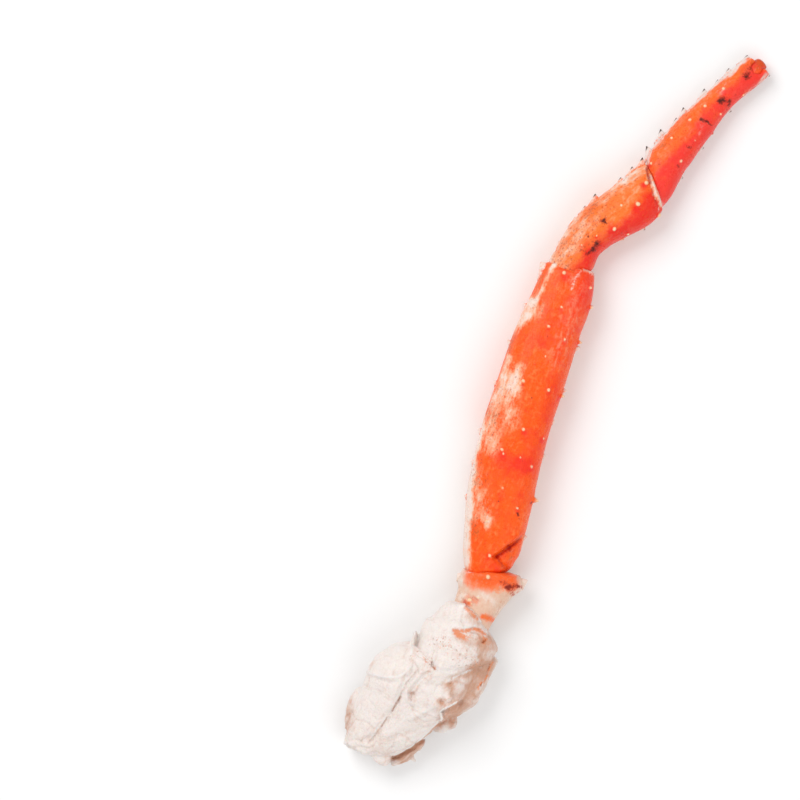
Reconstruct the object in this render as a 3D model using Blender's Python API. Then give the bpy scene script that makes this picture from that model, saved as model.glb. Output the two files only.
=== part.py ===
"""A cooked king crab walking leg with its shoulder, lying on its side.

Blender 4.5, metres, +Z up. The leg runs along +X from the cut shoulder to the trimmed tip,
and its underside rests on z = 0. Every shell segment is one closed solid in its own object.
"""

import math
import random

import bmesh
import bpy
import numpy as np
from mathutils import Matrix, Vector, noise

MM = 0.001
SEED = 11

# Driving dimensions of the leg, in millimetres.
JOINT_GAP = 0.35
SHOULDER_LENGTH = 80.0
SHOULDER_WIDTH = 60.0
SHOULDER_DEPTH = 41.0
COXA_LENGTH = 44.0
COXA_WIDTH = 47.0
COXA_DEPTH = 40.0
ISCHIUM_LENGTH = 30.0
ISCHIUM_WIDTH = 33.0
ISCHIUM_DEPTH = 30.0
MERUS_LENGTH = 178.0
MERUS_WIDTH = 39.0
MERUS_DEPTH = 33.5
CARPUS_LENGTH = 66.0
CARPUS_WIDTH = 30.0
CARPUS_DEPTH = 27.5
PROPODUS_LENGTH = 98.0
PROPODUS_WIDTH = 23.5
PROPODUS_DEPTH = 21.5
DACTYL_LENGTH = 11.0
DACTYL_WIDTH = 11.0
DACTYL_DEPTH = 9.5

# The middle of the leg's outline in the frame of PLACES, in millimetres. It becomes the origin.
MIDDLE = (-0.645, 0.554)

# Where each segment's base joint lies in plan, in millimetres, and its heading in degrees.
PLACES = {
    "shoulder": (-231.0, 5.0, -12.0),
    "coxa": (-173.0, -13.0, 1.5),
    "ischium": (-135.0, -11.5, 2.8),
    "merus": (-102.0, -9.5, 9.7),
    "carpus": (75.0, 20.5, -21.5),
    "propodus": (132.5, -3.5, -15.0),
    "dactyl_stub": (219.0, -25.4, -20.0),
}

# Each curve holds (share of the length, value). Half widths are shares of the width, bows are sideways shifts in
# millimetres, crown and belly are heights above the ground as shares of the depth, and skew slants a ring by that
# many millimetres along for every millimetre across.
SEGMENTS = {
    "shoulder": {
        "size": (SHOULDER_LENGTH, SHOULDER_WIDTH, SHOULDER_DEPTH),
        "half": [(0, 0.17), (0.07, 0.26), (0.15, 0.3), (0.25, 0.35), (0.38, 0.4), (0.5, 0.44),
                 (0.62, 0.49), (0.73, 0.49), (0.83, 0.43), (0.92, 0.35), (1, 0.28)],
        "bow": [(0, 9), (0.07, 6), (0.15, 6.4), (0.38, 6.6), (0.5, 7.4), (0.62, 4.4), (0.73, 1.2), (0.83, -1.8), (1, -8)],
        "crown": [(0, 0.56), (0.1, 0.66), (0.3, 0.8), (0.5, 0.92), (0.68, 1.0), (0.84, 0.94), (0.93, 0.82), (1, 0.7)],
        "belly": [(0, 0.03), (0.1, -0.02), (0.85, -0.02), (1, 0.03)],
        "skew": [(0, -0.25), (0.3, 0), (0.8, 0), (1, -0.45)],
        "domes": (3.0, 5.0),
        "squareness": (2.7, 3.2),
        "rings": 24,
        "sides": 38,
    },
    "coxa": {
        "size": (COXA_LENGTH, COXA_WIDTH, COXA_DEPTH),
        "half": [(0, 0.22), (0.12, 0.3), (0.25, 0.36), (0.4, 0.43), (0.62, 0.48), (0.8, 0.45), (0.92, 0.36), (1, 0.28)],
        "bow": [(0, 10), (0.12, 8.5), (0.25, 7), (0.4, 4), (0.62, 1.4), (0.8, 0.6), (1, 4)],
        "crown": [(0, 0.86), (0.2, 0.96), (0.45, 1.0), (0.7, 0.96), (0.86, 0.88), (1, 0.84)],
        "belly": [(0, 0.06), (0.3, 0.0), (0.7, 0.0), (1, 0.09)],
        "skew": [(0, -0.25), (0.35, 0), (0.6, 0.1), (1, 0.4)],
        "domes": (5.0, 2.0),
        "squareness": (2.3, 2.5),
        "rings": 13,
        "sides": 28,
    },
    "ischium": {
        "size": (ISCHIUM_LENGTH, ISCHIUM_WIDTH, ISCHIUM_DEPTH),
        "half": [(0, 0.38), (0.2, 0.41), (0.5, 0.45), (0.8, 0.5), (0.93, 0.53), (1, 0.52)],
        "bow": [(0, 0), (0.5, -1.5), (0.9, -2.4), (1, -2)],
        "crown": [(0, 1.0), (0.5, 1.0), (0.8, 1.02), (0.93, 1.04), (1, 1.01)],
        "belly": [(0, 0.2), (0.5, 0.16), (1, 0.08)],
        "skew": [(0, 0.3), (0.5, 0), (1, -0.25)],
        "domes": (5.0, 1.5),
        "squareness": (2.3, 2.4),
        "rings": 11,
        "sides": 26,
    },
    "merus": {
        "size": (MERUS_LENGTH, MERUS_WIDTH, MERUS_DEPTH),
        "half": [(0, 0.34), (0.035, 0.4), (0.12, 0.46), (0.26, 0.5), (0.5, 0.495),
                 (0.72, 0.485), (0.8, 0.47), (0.89, 0.45), (0.96, 0.41), (1, 0.37)],
        "bow": [(0, 0.6), (0.12, 3.4), (0.26, 5.8), (0.45, 6.8), (0.6, 5.4), (0.8, 3.4), (0.9, 1.0), (1, 0.5)],
        "crown": [(0, 0.9), (0.1, 0.96), (0.3, 1.0), (0.6, 0.99), (0.85, 0.92), (0.94, 0.86), (1, 0.81)],
        "belly": [(0, 0.14), (0.1, 0.04), (0.22, -0.02), (0.8, -0.02), (0.9, 0.03), (1, 0.1)],
        "skew": [(0, -0.4), (0.12, 0), (1, 0)],
        "domes": (7.0, 4.0),
        "squareness": (2.35, 2.6),
        "rings": 27,
        "sides": 24,
    },
    "carpus": {
        "size": (CARPUS_LENGTH, CARPUS_WIDTH, CARPUS_DEPTH),
        "half": [(0, 0.38), (0.12, 0.43), (0.24, 0.41), (0.36, 0.43), (0.5, 0.465),
                 (0.65, 0.49), (0.8, 0.5), (0.93, 0.48), (1, 0.44)],
        "bow": [(0, 2.6), (0.12, 4.2), (0.25, 7.0), (0.36, 7.2), (0.5, 6.0), (0.65, 4.0), (0.8, 2.4), (1, 1.8)],
        "crown": [(0, 1.0), (0.2, 1.0), (0.45, 1.02), (0.7, 1.02), (0.9, 0.96), (1, 0.9)],
        "belly": [(0, 0.15), (0.2, 0.08), (0.5, 0.0), (0.8, 0.0), (1, 0.06)],
        "skew": [(0, 0), (0.5, 0), (1, 0.42)],
        "domes": (12.0, 1.5),
        "squareness": (2.25, 2.4),
        "rings": 15,
        "sides": 22,
    },
    "propodus": {
        "size": (PROPODUS_LENGTH, PROPODUS_WIDTH, PROPODUS_DEPTH),
        "half": [(0, 0.38), (0.08, 0.45), (0.17, 0.5), (0.28, 0.5), (0.4, 0.455),
                 (0.5, 0.43), (0.62, 0.385), (0.74, 0.345), (0.86, 0.36), (0.95, 0.365), (1, 0.33)],
        "bow": [(0, 0), (0.08, 1.4), (0.17, 4.6), (0.28, 6.2), (0.4, 6.2), (0.6, 6.2), (0.74, 5.2), (0.86, 3.4), (1, 0.8)],
        "crown": [(0, 0.95), (0.15, 1.0), (0.3, 0.99), (0.5, 0.9), (0.75, 0.77), (0.9, 0.74), (1, 0.7)],
        "belly": [(0, 0.14), (0.12, 0.05), (0.25, -0.03), (0.9, -0.03), (1, 0.04)],
        "skew": [(0, 0.3), (0.2, 0), (1, 0)],
        "domes": (6.0, 1.5),
        "squareness": (2.2, 2.4),
        "rings": 22,
        "sides": 20,
    },
    "dactyl_stub": {
        "size": (DACTYL_LENGTH, DACTYL_WIDTH, DACTYL_DEPTH),
        "half": [(0, 0.42), (0.3, 0.48), (0.6, 0.5), (0.85, 0.44), (1, 0.36)],
        "bow": [(0, 0), (1, 0)],
        "crown": [(0, 1.16), (0.5, 1.2), (1, 1.12)],
        "belly": [(0, 0.28), (0.5, 0.24), (1, 0.3)],
        "skew": [(0, 0), (1, 0)],
        "domes": (3.0, 2.0),
        "squareness": (2.1, 2.1),
        "rings": 6,
        "sides": 14,
    },
}
CURVES = ("half", "bow", "crown", "belly", "skew")
DOME_STEPS = (78.0, 54.0, 28.0)

# Which neighbour's base sits in the far end of each segment.
SOCKETS = {
    "shoulder": "coxa",
    "coxa": "ischium",
    "ischium": "merus",
    "merus": "carpus",
    "carpus": "propodus",
    "propodus": "dactyl_stub",
}

# Creases, ridges and hollows of the upper side: (path in plan in the segment's frame, rise, width), in millimetres.
FORMS = {
    "shoulder": [
        ([(58, 13.7), (49.6, 12.6), (42.7, 12.6), (34.5, 9.3), (21.6, 8.3), (8, 8.1)], -2.2, 1.6),
        ([(63, 5.8), (57.1, 9.2), (49.1, 10.2), (43.3, 9.1), (39.4, 5.2), (40.1, 1.8)], 1.2, 1.6),
        ([(44.6, 5.5), (42.6, 5.7)], -1.8, 1.5),
        ([(54, -12.5), (50, -10.5)], 1.8, 4.0),
        ([(52, -21), (60, -22), (70, -21), (78, -19)], -6.0, 6.5),
        ([(4, -16), (12, -17), (22, -21), (34, -24), (44, -24)], -9.0, 4.0),
    ],
    "coxa": [
        ([(5, 20), (7, 13), (5.6, 8.6), (8.4, -0.3), (12.7, -10)], -1.4, 2.0),
        ([(28.2, 6.7), (32.1, 1.6), (35.2, -5.5)], -1.5, 2.2),
        ([(19.6, 1.2), (24.5, -10.2)], 1.0, 4.5),
    ],
    "ischium": [
        ([(8.2, 8.6), (6.9, 3.7), (1.7, -0.6)], -1.2, 1.6),
        ([(20, 12), (24, 4), (27, -4), (28, -14)], 1.0, 2.4),
        ([(21, -12), (25, -17)], 0.8, 3.5),
    ],
    "merus": [
        ([(20, -12), (14, -8), (7, -2.5)], -1.3, 3.0),
        ([(7, -2.5), (3, -9)], -1.2, 3.0),
        ([(11, -10), (8, -11)], -1.0, 4.0),
        ([(178, 10), (163, 13), (150, 16)], 0.7, 2.5),
    ],
    "carpus": [
        ([(4, -2), (14, -4), (26, -3)], -0.7, 3.5),
        ([(69, 11), (64, 2), (60, -9)], 0.6, 2.5),
    ],
    "propodus": [
        ([(4, 6), (1, -8)], 0.8, 2.0),
        ([(20, 17), (45, 16), (70, 13), (90, 9)], -0.5, 2.0),
    ],
}

# Smaller lobes and flakes of the shoulder: (centre, radii) in its frame, in millimetres, and their turn in degrees.
LOBES = [
    ((42, -17.5, 8.0), (10.0, 7.8, 8.0), 0),
    ((14, -13.6, 8.6), (11.5, 4.4, 8.6), -14),
    ((15, 26.0, 7.0), (13.5, 4.0, 7.0), 22),
    ((68, 22.5, 25), (6.5, 1.4, 7), 23),
]
LOBE_SEGMENTS = 12
LOBE_RINGS = 7

# The small pale knobs that show on the upper side, in plan in the segment's frame, in millimetres.
KNOBS = {
    "ischium": [(26.6, -0.2), (9.2, 3.6)],
    "merus": [(174.7, 4.1), (155.2, 0.5), (142.6, 4.9), (137.8, -6), (170.5, -11.5), (138.8, -14.2), (108.5, 10.6),
              (107.3, -4.7), (106.2, -13.6), (81.7, 3.3), (79.7, -9.3), (67.3, 12), (65.6, 0.7), (62.2, -6.9),
              (46, 6.1), (43.8, -13.4), (37.1, -5.3), (25.3, 9.5), (6.7, 2.7)],
    "carpus": [(44.3, 6.8), (51.7, 0.8), (32.1, -0.1), (63.6, 6.2), (36.5, -7.5)],
    "propodus": [(47.3, 11.2), (59.2, 9.6), (32.3, 12.5), (13.7, 12.1), (25.5, 0.2), (74, 7.9), (61.7, 0.1),
                 (50.8, -4.5), (79.3, -2.9)],
}
KNOB_HEIGHT = 1.2
KNOB_RADIUS = 1.5
KNOB_TOP = 0.45

# Spines of the edges and the underside: (degrees round the shell from its left side over the crown, shares of the
# length, height, base radius, lean towards the tip).
SPINES = {
    "ischium": [
        ((8,), (0.72,), 4.0, 3.2, 0.3),
        ((178,), (0.92,), 4.6, 4.2, 0.3),
    ],
    "merus": [
        ((6,), (0.975,), 4.0, 2.6, 0.9),
        ((4,), (0.2, 0.42, 0.58, 0.72, 0.85), 1.8, 1.8, 0.9),
        ((176,), (0.25, 0.39, 0.62, 0.76, 0.9), 2.2, 1.9, 0.8),
        ((216, 326), (0.3, 0.55, 0.8), 1.6, 1.7, 0.6),
    ],
    "carpus": [
        ((6,), (0.56, 0.69, 0.81, 0.96), 4.2, 1.8, 1.1),
        ((176,), (0.5, 0.72), 2.2, 1.7, 0.8),
        ((158,), (0.97,), 2.0, 2.8, 0.3),
        ((214,), (0.45, 0.75), 1.5, 1.5, 0.6),
    ],
    "propodus": [
        ((6,), (0.2, 0.33, 0.51, 0.67, 0.87), 4.6, 1.6, 1.2),
        ((4,), (0.95,), 2.6, 1.4, 1.2),
        ((178,), (0.2, 0.4, 0.5, 0.69, 0.93), 2.4, 1.4, 1.1),
        ((214, 330), (0.35, 0.7), 1.4, 1.3, 0.8),
    ],
}
SPINE_SIDES = 5
SPINE_TIP = 0.16
SPINE_SINK = 1.6

PLATE_TILT = 0.1
GRAIN = 0.7
GRAIN_PITCH = 13.0
RAGGED = 2.6

SLOTS = {
    "shoulder": "pale_shell",
    "coxa": "pale_shell",
    "ischium": "mottled_shell",
    "merus": "red_shell",
    "carpus": "red_shell",
    "propodus": "red_shell",
    "dactyl_stub": "red_shell",
}
COLOURS = {
    "pale_shell": (0.86, 0.74, 0.68),
    "mottled_shell": (0.86, 0.45, 0.28),
    "red_shell": (0.88, 0.13, 0.035),
}
SHELL_ROUGHNESS = 0.3


def curve_through(pairs):
    """A smooth function of the share of the length that passes through the pairs without overshooting."""
    xs = np.array([pair[0] for pair in pairs], float)
    ys = np.array([pair[1] for pair in pairs], float)
    steps = np.diff(ys) / np.diff(xs)
    slopes = np.concatenate([steps[:1], (steps[:-1] + steps[1:]) / 2, steps[-1:]])
    turns = np.concatenate([[False], steps[:-1] * steps[1:] <= 0, [False]])
    slopes[turns] = 0.0

    def value(x):
        x = min(max(x, xs[0]), xs[-1])
        i = min(int(np.searchsorted(xs, x, side="right")) - 1, len(xs) - 2)
        width = xs[i + 1] - xs[i]
        u = (x - xs[i]) / width
        rise = ys[i + 1] - ys[i]
        return (ys[i] + rise * u * u * (3 - 2 * u)
                + width * u * (1 - u) * (slopes[i] * (1 - u) - slopes[i + 1] * u))

    return value


def clamp(value):
    return min(max(value, 0.0), 1.0)


def signed_power(value, power):
    return math.copysign(abs(value) ** power, value)


def distance_to(path, x, y):
    """How far (x, y) lies from a path of straight pieces."""
    here = Vector((x, y))
    best = math.inf
    for start, end in zip(path, path[1:]):
        start, end = Vector(start), Vector(end)
        run = end - start
        share = clamp((here - start).dot(run) / run.length_squared)
        best = min(best, (start + run * share - here).length)
    return best


def shell_point(spec, share, shrink, around, grow=0.0):
    """A point of a segment's skin in its own frame, in millimetres.

    share runs along the length, shrink closes the section in the end domes, and around is the angle
    from the left side over the crown. grow moves the whole skin outwards.
    """
    length, width, depth = spec["size"]
    half, bow, crown, belly, skew = (spec["curves"][key](share) for key in CURVES)
    crown *= depth
    belly *= depth
    middle = belly + 0.46 * (crown - belly)
    upward = math.sin(around) >= 0
    power = 2.0 / spec["squareness"][0 if upward else 1]
    across = (half * width * shrink + grow) * signed_power(math.cos(around), power)
    reach = (crown - middle if upward else middle - belly) * shrink + grow
    height = middle + reach * signed_power(math.sin(around), power)
    return Vector((share * length + skew * across, bow + across, height))


def relieved(name, spec, point):
    """The point after the segment's forms are pressed into its upper side or raised from it."""
    upper = clamp((point.z / spec["size"][2] - 0.4) / 0.25)
    if upper > 0:
        for path, rise, width in FORMS.get(name, []):
            point.z += upper * rise * math.exp(-((distance_to(path, point.x, point.y) / width) ** 2))
    return point


def plated(spec, point, share):
    """The shoulder's plates: they slope away from the seam, and their cut end is ragged."""
    seam = FORMS["shoulder"][0][0]
    off = point.y - np.interp(point.x, [p[0] for p in reversed(seam)], [p[1] for p in reversed(seam)])
    upper = clamp((point.z / spec["size"][2] - 0.4) / 0.25)
    point.z -= upper * PLATE_TILT * abs(off) * clamp((0.9 - share) / 0.2)
    spot = point / GRAIN_PITCH
    shifts = (Vector((0, 0, 0)), Vector((9, 3, 5)), Vector((2, 7, 1)))
    point += GRAIN * Vector([noise.noise(spot + shift) for shift in shifts])
    tooth = noise.noise(Vector((share * 3.0, point.y * 0.21, point.z * 0.16)))
    point.x += tooth * RAGGED * clamp(1.0 - share / 0.1)
    return point


def rings_of(spec):
    """(share, shrink, extra length) of every ring, with both ends rounded off into domes."""
    base, tip = spec["domes"]
    turns = [math.radians(degrees) for degrees in DOME_STEPS]
    rings = [(0.0, math.cos(turn) ** 0.8, -base * math.sin(turn)) for turn in turns]
    rings += [(i / spec["rings"], 1.0, 0.0) for i in range(spec["rings"] + 1)]
    rings += [(1.0, math.cos(turn) ** 0.8, tip * math.sin(turn)) for turn in reversed(turns)]
    return rings


def shell_mesh(name, spec, grow=0.0):
    """The closed skin of one segment as a loft of rings with a pole at each end."""
    bm = bmesh.new()
    sides = spec["sides"]
    loops = []
    for share, shrink, extra in rings_of(spec):
        loop = []
        for k in range(sides):
            point = shell_point(spec, share, shrink, 2 * math.pi * k / sides, grow)
            point.x += extra * (1 + grow / 5.0)
            if name == "shoulder":
                point = plated(spec, point, share)
            point = relieved(name, spec, point)
            if not grow:
                point.z = max(point.z, 0.0)
            loop.append(bm.verts.new(point * MM))
        loops.append(loop)
    for low, high in zip(loops, loops[1:]):
        for k in range(sides):
            n = (k + 1) % sides
            bm.faces.new((low[k], low[n], high[n], high[k]))
    for loop in (loops[0], loops[-1]):
        pole = bm.verts.new(sum((vert.co for vert in loop), Vector()) / sides)
        for k in range(sides):
            bm.faces.new((loop[k], loop[(k + 1) % sides], pole))
    bmesh.ops.recalc_face_normals(bm, faces=bm.faces)
    mesh = bpy.data.meshes.new(name)
    bm.to_mesh(mesh)
    bm.free()
    return mesh


def place(obj, name):
    x, y, heading = PLACES[name]
    obj.location = ((x - MIDDLE[0]) * MM, (y - MIDDLE[1]) * MM, 0.0)
    obj.rotation_euler = (0.0, 0.0, math.radians(heading))


def outward(spec, share, around):
    """The skin's normal, from two small steps over it."""
    step = 0.01
    ahead, behind = min(share + step, 1.0), max(share - step, 0.0)
    along = shell_point(spec, ahead, 1.0, around) - shell_point(spec, behind, 1.0, around)
    over = shell_point(spec, share, 1.0, around + step) - shell_point(spec, share, 1.0, around - step)
    normal = over.cross(along).normalized()
    here = shell_point(spec, share, 1.0, around)
    middle = Vector((here.x, spec["curves"]["bow"](share), spec["size"][2] / 2))
    return normal if normal.dot(here - middle) > 0 else -normal


def seen_from_above(spec, x, y):
    """The (share, around) whose skin point lies at (x, y) on the upper side."""
    length, width, _ = spec["size"]
    share = clamp(x / length)
    reach = clamp(abs(y - spec["curves"]["bow"](share)) / (spec["curves"]["half"](share) * width))
    across = math.copysign(reach ** (spec["squareness"][0] / 2.0), y - spec["curves"]["bow"](share))
    return share, math.acos(across)


def cone_mesh(foot, direction, height, radius, top):
    """A spine or knob as a cone sunk into the shell, whose top is that share of its radius."""
    bm = bmesh.new()
    bmesh.ops.create_cone(bm, cap_ends=True, segments=SPINE_SIDES, radius1=radius * MM,
                          radius2=radius * top * MM, depth=(height + SPINE_SINK) * MM)
    turn = direction.to_track_quat("Z", "Y").to_matrix().to_4x4()
    middle = foot + direction * (height - SPINE_SINK) / 2
    bm.transform(Matrix.Translation(middle * MM) @ turn)
    mesh = bpy.data.meshes.new("cone")
    bm.to_mesh(mesh)
    bm.free()
    return mesh


def spines_of(name, spec):
    """Meshes of the segment's knobs and spines, each a little off its size as on a real shell."""
    draw = random.Random(SEED + len(name))
    for x, y in KNOBS.get(name, []):
        share, around = seen_from_above(spec, x, y)
        foot = relieved(name, spec, shell_point(spec, share, 1.0, around))
        size = draw.uniform(0.85, 1.25)
        yield cone_mesh(foot, outward(spec, share, around), KNOB_HEIGHT * size, KNOB_RADIUS * size, KNOB_TOP)
    for rows, shares, height, radius, lean in SPINES.get(name, []):
        for degrees in rows:
            for share in shares:
                around = math.radians(degrees + draw.uniform(-3, 3))
                foot = shell_point(spec, share, 1.0, around)
                direction = (outward(spec, share, around) + Vector((lean, 0, 0))).normalized()
                size = draw.uniform(0.88, 1.12)
                yield cone_mesh(foot, direction, height * size, radius * size, SPINE_TIP)


def lobe_mesh(centre, radii, degrees):
    bm = bmesh.new()
    bmesh.ops.create_uvsphere(bm, u_segments=LOBE_SEGMENTS, v_segments=LOBE_RINGS, radius=1.0)
    bm.transform(Matrix.Diagonal((*(radius * MM for radius in radii), 1)))
    bm.transform(Matrix.Translation(Vector(centre) * MM) @ Matrix.Rotation(math.radians(degrees), 4, "Z"))
    mesh = bpy.data.meshes.new("lobe")
    bm.to_mesh(mesh)
    bm.free()
    return mesh


def material_of(slot):
    material = bpy.data.materials.get(slot)
    if material:
        return material
    material = bpy.data.materials.new(slot)
    material.use_nodes = True
    shader = material.node_tree.nodes["Principled BSDF"]
    shader.inputs["Base Color"].default_value = (*COLOURS[slot], 1.0)
    shader.inputs["Roughness"].default_value = SHELL_ROUGHNESS
    shader.inputs["Metallic"].default_value = 0.0
    return material


def fuse(obj, name, meshes):
    """Joins the meshes to obj, all of them in its segment's frame, with one union."""
    extras = bpy.data.collections.new("extras")
    bpy.context.scene.collection.children.link(extras)
    for mesh in meshes:
        extra = bpy.data.objects.new("extra", mesh)
        place(extra, name)
        extras.objects.link(extra)
    if extras.objects:
        union = obj.modifiers.new("extras", "BOOLEAN")
        union.operation = "UNION"
        union.operand_type = "COLLECTION"
        union.collection = extras
        union.solver = "MANIFOLD"
        graph = bpy.context.evaluated_depsgraph_get()
        obj.data = bpy.data.meshes.new_from_object(obj.evaluated_get(graph))
        obj.modifiers.clear()
    for extra in list(extras.objects):
        bpy.data.objects.remove(extra)
    bpy.data.collections.remove(extras)


def cut_socket(obj, neighbour, cutters):
    """Cuts a seat for the neighbour's base, one joint gap larger all round, out of the far end of obj."""
    cutter = bpy.data.objects.new(f"{neighbour}_seat", shell_mesh(neighbour, SEGMENTS[neighbour], JOINT_GAP))
    place(cutter, neighbour)
    cutter.hide_render = True
    cutter.display_type = "WIRE"
    cutters.objects.link(cutter)
    cut = obj.modifiers.new("seat", "BOOLEAN")
    cut.operation = "DIFFERENCE"
    cut.object = cutter
    cut.solver = "MANIFOLD"


def build_segment(name, parts, cutters):
    spec = SEGMENTS[name]
    obj = bpy.data.objects.new(name, shell_mesh(name, spec))
    place(obj, name)
    parts.objects.link(obj)
    meshes = list(spines_of(name, spec))
    if name == "shoulder":
        meshes += [lobe_mesh(*lobe) for lobe in LOBES]
    fuse(obj, name, meshes)
    if name in SOCKETS:
        cut_socket(obj, SOCKETS[name], cutters)
    obj.data.materials.clear()
    obj.data.materials.append(material_of(SLOTS[name]))


def main():
    for obj in list(bpy.data.objects):
        bpy.data.objects.remove(obj)
    parts = bpy.data.collections.new("king_crab_leg")
    cutters = bpy.data.collections.new("cutters")
    for collection in (parts, cutters):
        bpy.context.scene.collection.children.link(collection)
    for spec in SEGMENTS.values():
        spec["curves"] = {key: curve_through(spec[key]) for key in CURVES}
    for name in SEGMENTS:
        build_segment(name, parts, cutters)


main()
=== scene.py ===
import math
import random

import bmesh
import bpy
import numpy as np
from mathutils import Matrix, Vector
from mathutils.bvhtree import BVHTree


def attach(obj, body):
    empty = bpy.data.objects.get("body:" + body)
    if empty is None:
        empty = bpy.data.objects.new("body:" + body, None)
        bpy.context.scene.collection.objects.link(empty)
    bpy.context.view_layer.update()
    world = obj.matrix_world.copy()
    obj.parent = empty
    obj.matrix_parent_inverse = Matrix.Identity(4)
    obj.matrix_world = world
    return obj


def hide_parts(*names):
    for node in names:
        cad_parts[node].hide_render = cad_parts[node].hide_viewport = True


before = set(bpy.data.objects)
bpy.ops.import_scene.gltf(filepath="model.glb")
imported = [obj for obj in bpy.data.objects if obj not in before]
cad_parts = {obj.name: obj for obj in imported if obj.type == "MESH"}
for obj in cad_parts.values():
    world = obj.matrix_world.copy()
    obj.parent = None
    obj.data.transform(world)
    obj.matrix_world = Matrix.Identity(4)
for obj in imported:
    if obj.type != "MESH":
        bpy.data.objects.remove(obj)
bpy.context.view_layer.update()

mm = 0.001
legMiddle = (-0.645, 0.554)  # the middle of the leg's outline in the plan below, which the frame has at its origin
curveNames = ("half", "bow", "crown", "belly", "skew")
print("frame loaded:", sorted(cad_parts))

# where each segment's base joint lies in plan, in millimetres, and its heading in degrees
places = {
    "shoulder": (-231.0, 5.0, -12.0),
    "coxa": (-173.0, -13.0, 1.5),
    "ischium": (-135.0, -11.5, 2.8),
    "merus": (-102.0, -9.5, 9.7),
    "carpus": (75.0, 20.5, -21.5),
    "propodus": (132.5, -3.5, -15.0),
    "dactyl_stub": (219.0, -25.4, -20.0),
}


def readSpots(text):  # "x,y x,y" as a list of points
    return [tuple(float(value) for value in spot.split(",")) for spot in text.split()]


def curveThrough(pairs):  # a smooth function through the pairs that never overshoots them
    xs, ys = (np.array(column, float) for column in zip(*pairs))
    rise = np.diff(ys) / np.diff(xs)
    slopes = np.concatenate([rise[:1], (rise[:-1] + rise[1:]) / 2, rise[-1:]])
    slopes[np.concatenate([[False], rise[:-1] * rise[1:] <= 0, [False]])] = 0.0

    def value(x):
        x = np.clip(x, xs[0], xs[-1])
        i = np.clip(np.searchsorted(xs, x, side="right") - 1, 0, len(xs) - 2)
        gap = xs[i + 1] - xs[i]
        u = (x - xs[i]) / gap
        return (ys[i] + (ys[i + 1] - ys[i]) * u * u * (3 - 2 * u)
                + gap * u * (1 - u) * (slopes[i] * (1 - u) - slopes[i + 1] * u))

    return value


def ease(low, high, x):  # 0 below low, 1 above high, and smooth between them
    u = np.clip((x - low) / (high - low), 0.0, 1.0)
    return u * u * (3 - 2 * u)


def hump(distance, width):
    return np.exp(-(distance / width) ** 2)


def signedPower(x, power):
    return np.sign(x) * np.abs(x) ** power


def awayFrom(path, x, y):  # how far each point lies from a path of straight pieces, or from a single spot
    if len(path) == 1:
        return np.hypot(x - path[0][0], y - path[0][1])
    best = np.full(np.shape(x), np.inf)
    for (ax, ay), (bx, by) in zip(path, path[1:]):
        dx, dy = bx - ax, by - ay
        share = np.clip(((x - ax) * dx + (y - ay) * dy) / (dx * dx + dy * dy), 0, 1)
        best = np.minimum(best, np.hypot(ax + share * dx - x, ay + share * dy - y))
    return best


def sideOf(path, x, y):  # the same distance, with a plus on the left of the path and a minus on its right
    best, side = np.full(np.shape(x), np.inf), np.ones(np.shape(x))
    for (ax, ay), (bx, by) in zip(path, path[1:]):
        away = awayFrom([(ax, ay), (bx, by)], x, y)
        turn = np.sign((bx - ax) * (y - ay) - (by - ay) * (x - ax))
        side = np.where(away < best, turn, side)
        best = np.minimum(best, away)
    return best * side


def grain(points, pitch, seed):  # smooth random values from -1 to 1, about one pitch apart
    table = np.random.RandomState(seed).uniform(-1, 1, 4096)
    p = points / pitch + 37.7
    cell = np.floor(p).astype(np.int64)
    u = p - cell
    u = u * u * (3 - 2 * u)
    total = 0.0
    for corner in range(8):
        step = np.array([corner & 1, corner >> 1 & 1, corner >> 2 & 1])
        key = (cell + step) @ np.array([73856093, 19349663, 83492791])
        weight = np.prod(np.where(step, u, 1 - u), axis=1)
        total = total + weight * table[(key ^ (key >> 13)) % 4096]
    return total


def fractal(points, pitch, seed, octaves=3):
    return sum(grain(points, pitch / 2 ** k, seed + k) / 2 ** k for k in range(octaves)) / 1.6


def shellPoint(look, share, shrink, around):  # around is measured from the left side over the crown
    length, width, depth = look["size"]
    half, bow, crown, belly, skew = (look["curves"][key](share) for key in curveNames)
    crown, belly = crown * depth, belly * depth
    waist = belly + 0.46 * (crown - belly)
    upward = np.sin(around) >= 0
    power = np.where(upward, 2.0 / look["squareness"][0], 2.0 / look["squareness"][1])
    across = half * width * shrink * signedPower(np.cos(around), power)
    reach = np.where(upward, crown - waist, waist - belly) * shrink
    height = waist + reach * signedPower(np.sin(around), power)
    return np.stack([share * length + skew * across, bow + across, height], axis=-1)


def shellNormal(look, share, around):  # from two small steps over the skin
    step = 0.01
    ahead, behind = np.minimum(share + step, 1.0), np.maximum(share - step, 0.0)
    along = shellPoint(look, ahead, 1.0, around) - shellPoint(look, behind, 1.0, around)
    over = shellPoint(look, share, 1.0, around + step) - shellPoint(look, share, 1.0, around - step)
    normal = np.cross(over, along)
    return normal / np.linalg.norm(normal, axis=-1, keepdims=True)


def ringTable(look):  # (share, shrink, extra length) of every ring, both ends rounded into domes
    base, tip = look["domes"]
    domeRings = look["domeRings"]
    turn = np.radians(np.linspace(90, 0, domeRings, endpoint=False))
    share = np.concatenate([np.zeros(domeRings), np.linspace(0, 1, look["rings"] + 1), np.ones(domeRings)])
    close = np.cos(turn) ** 0.8
    shrink = np.concatenate([close, np.ones(look["rings"] + 1), close[::-1]])
    extra = np.concatenate([-base * np.sin(turn), np.zeros(look["rings"] + 1), tip * np.sin(turn[::-1])])
    return share, shrink, extra


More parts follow.
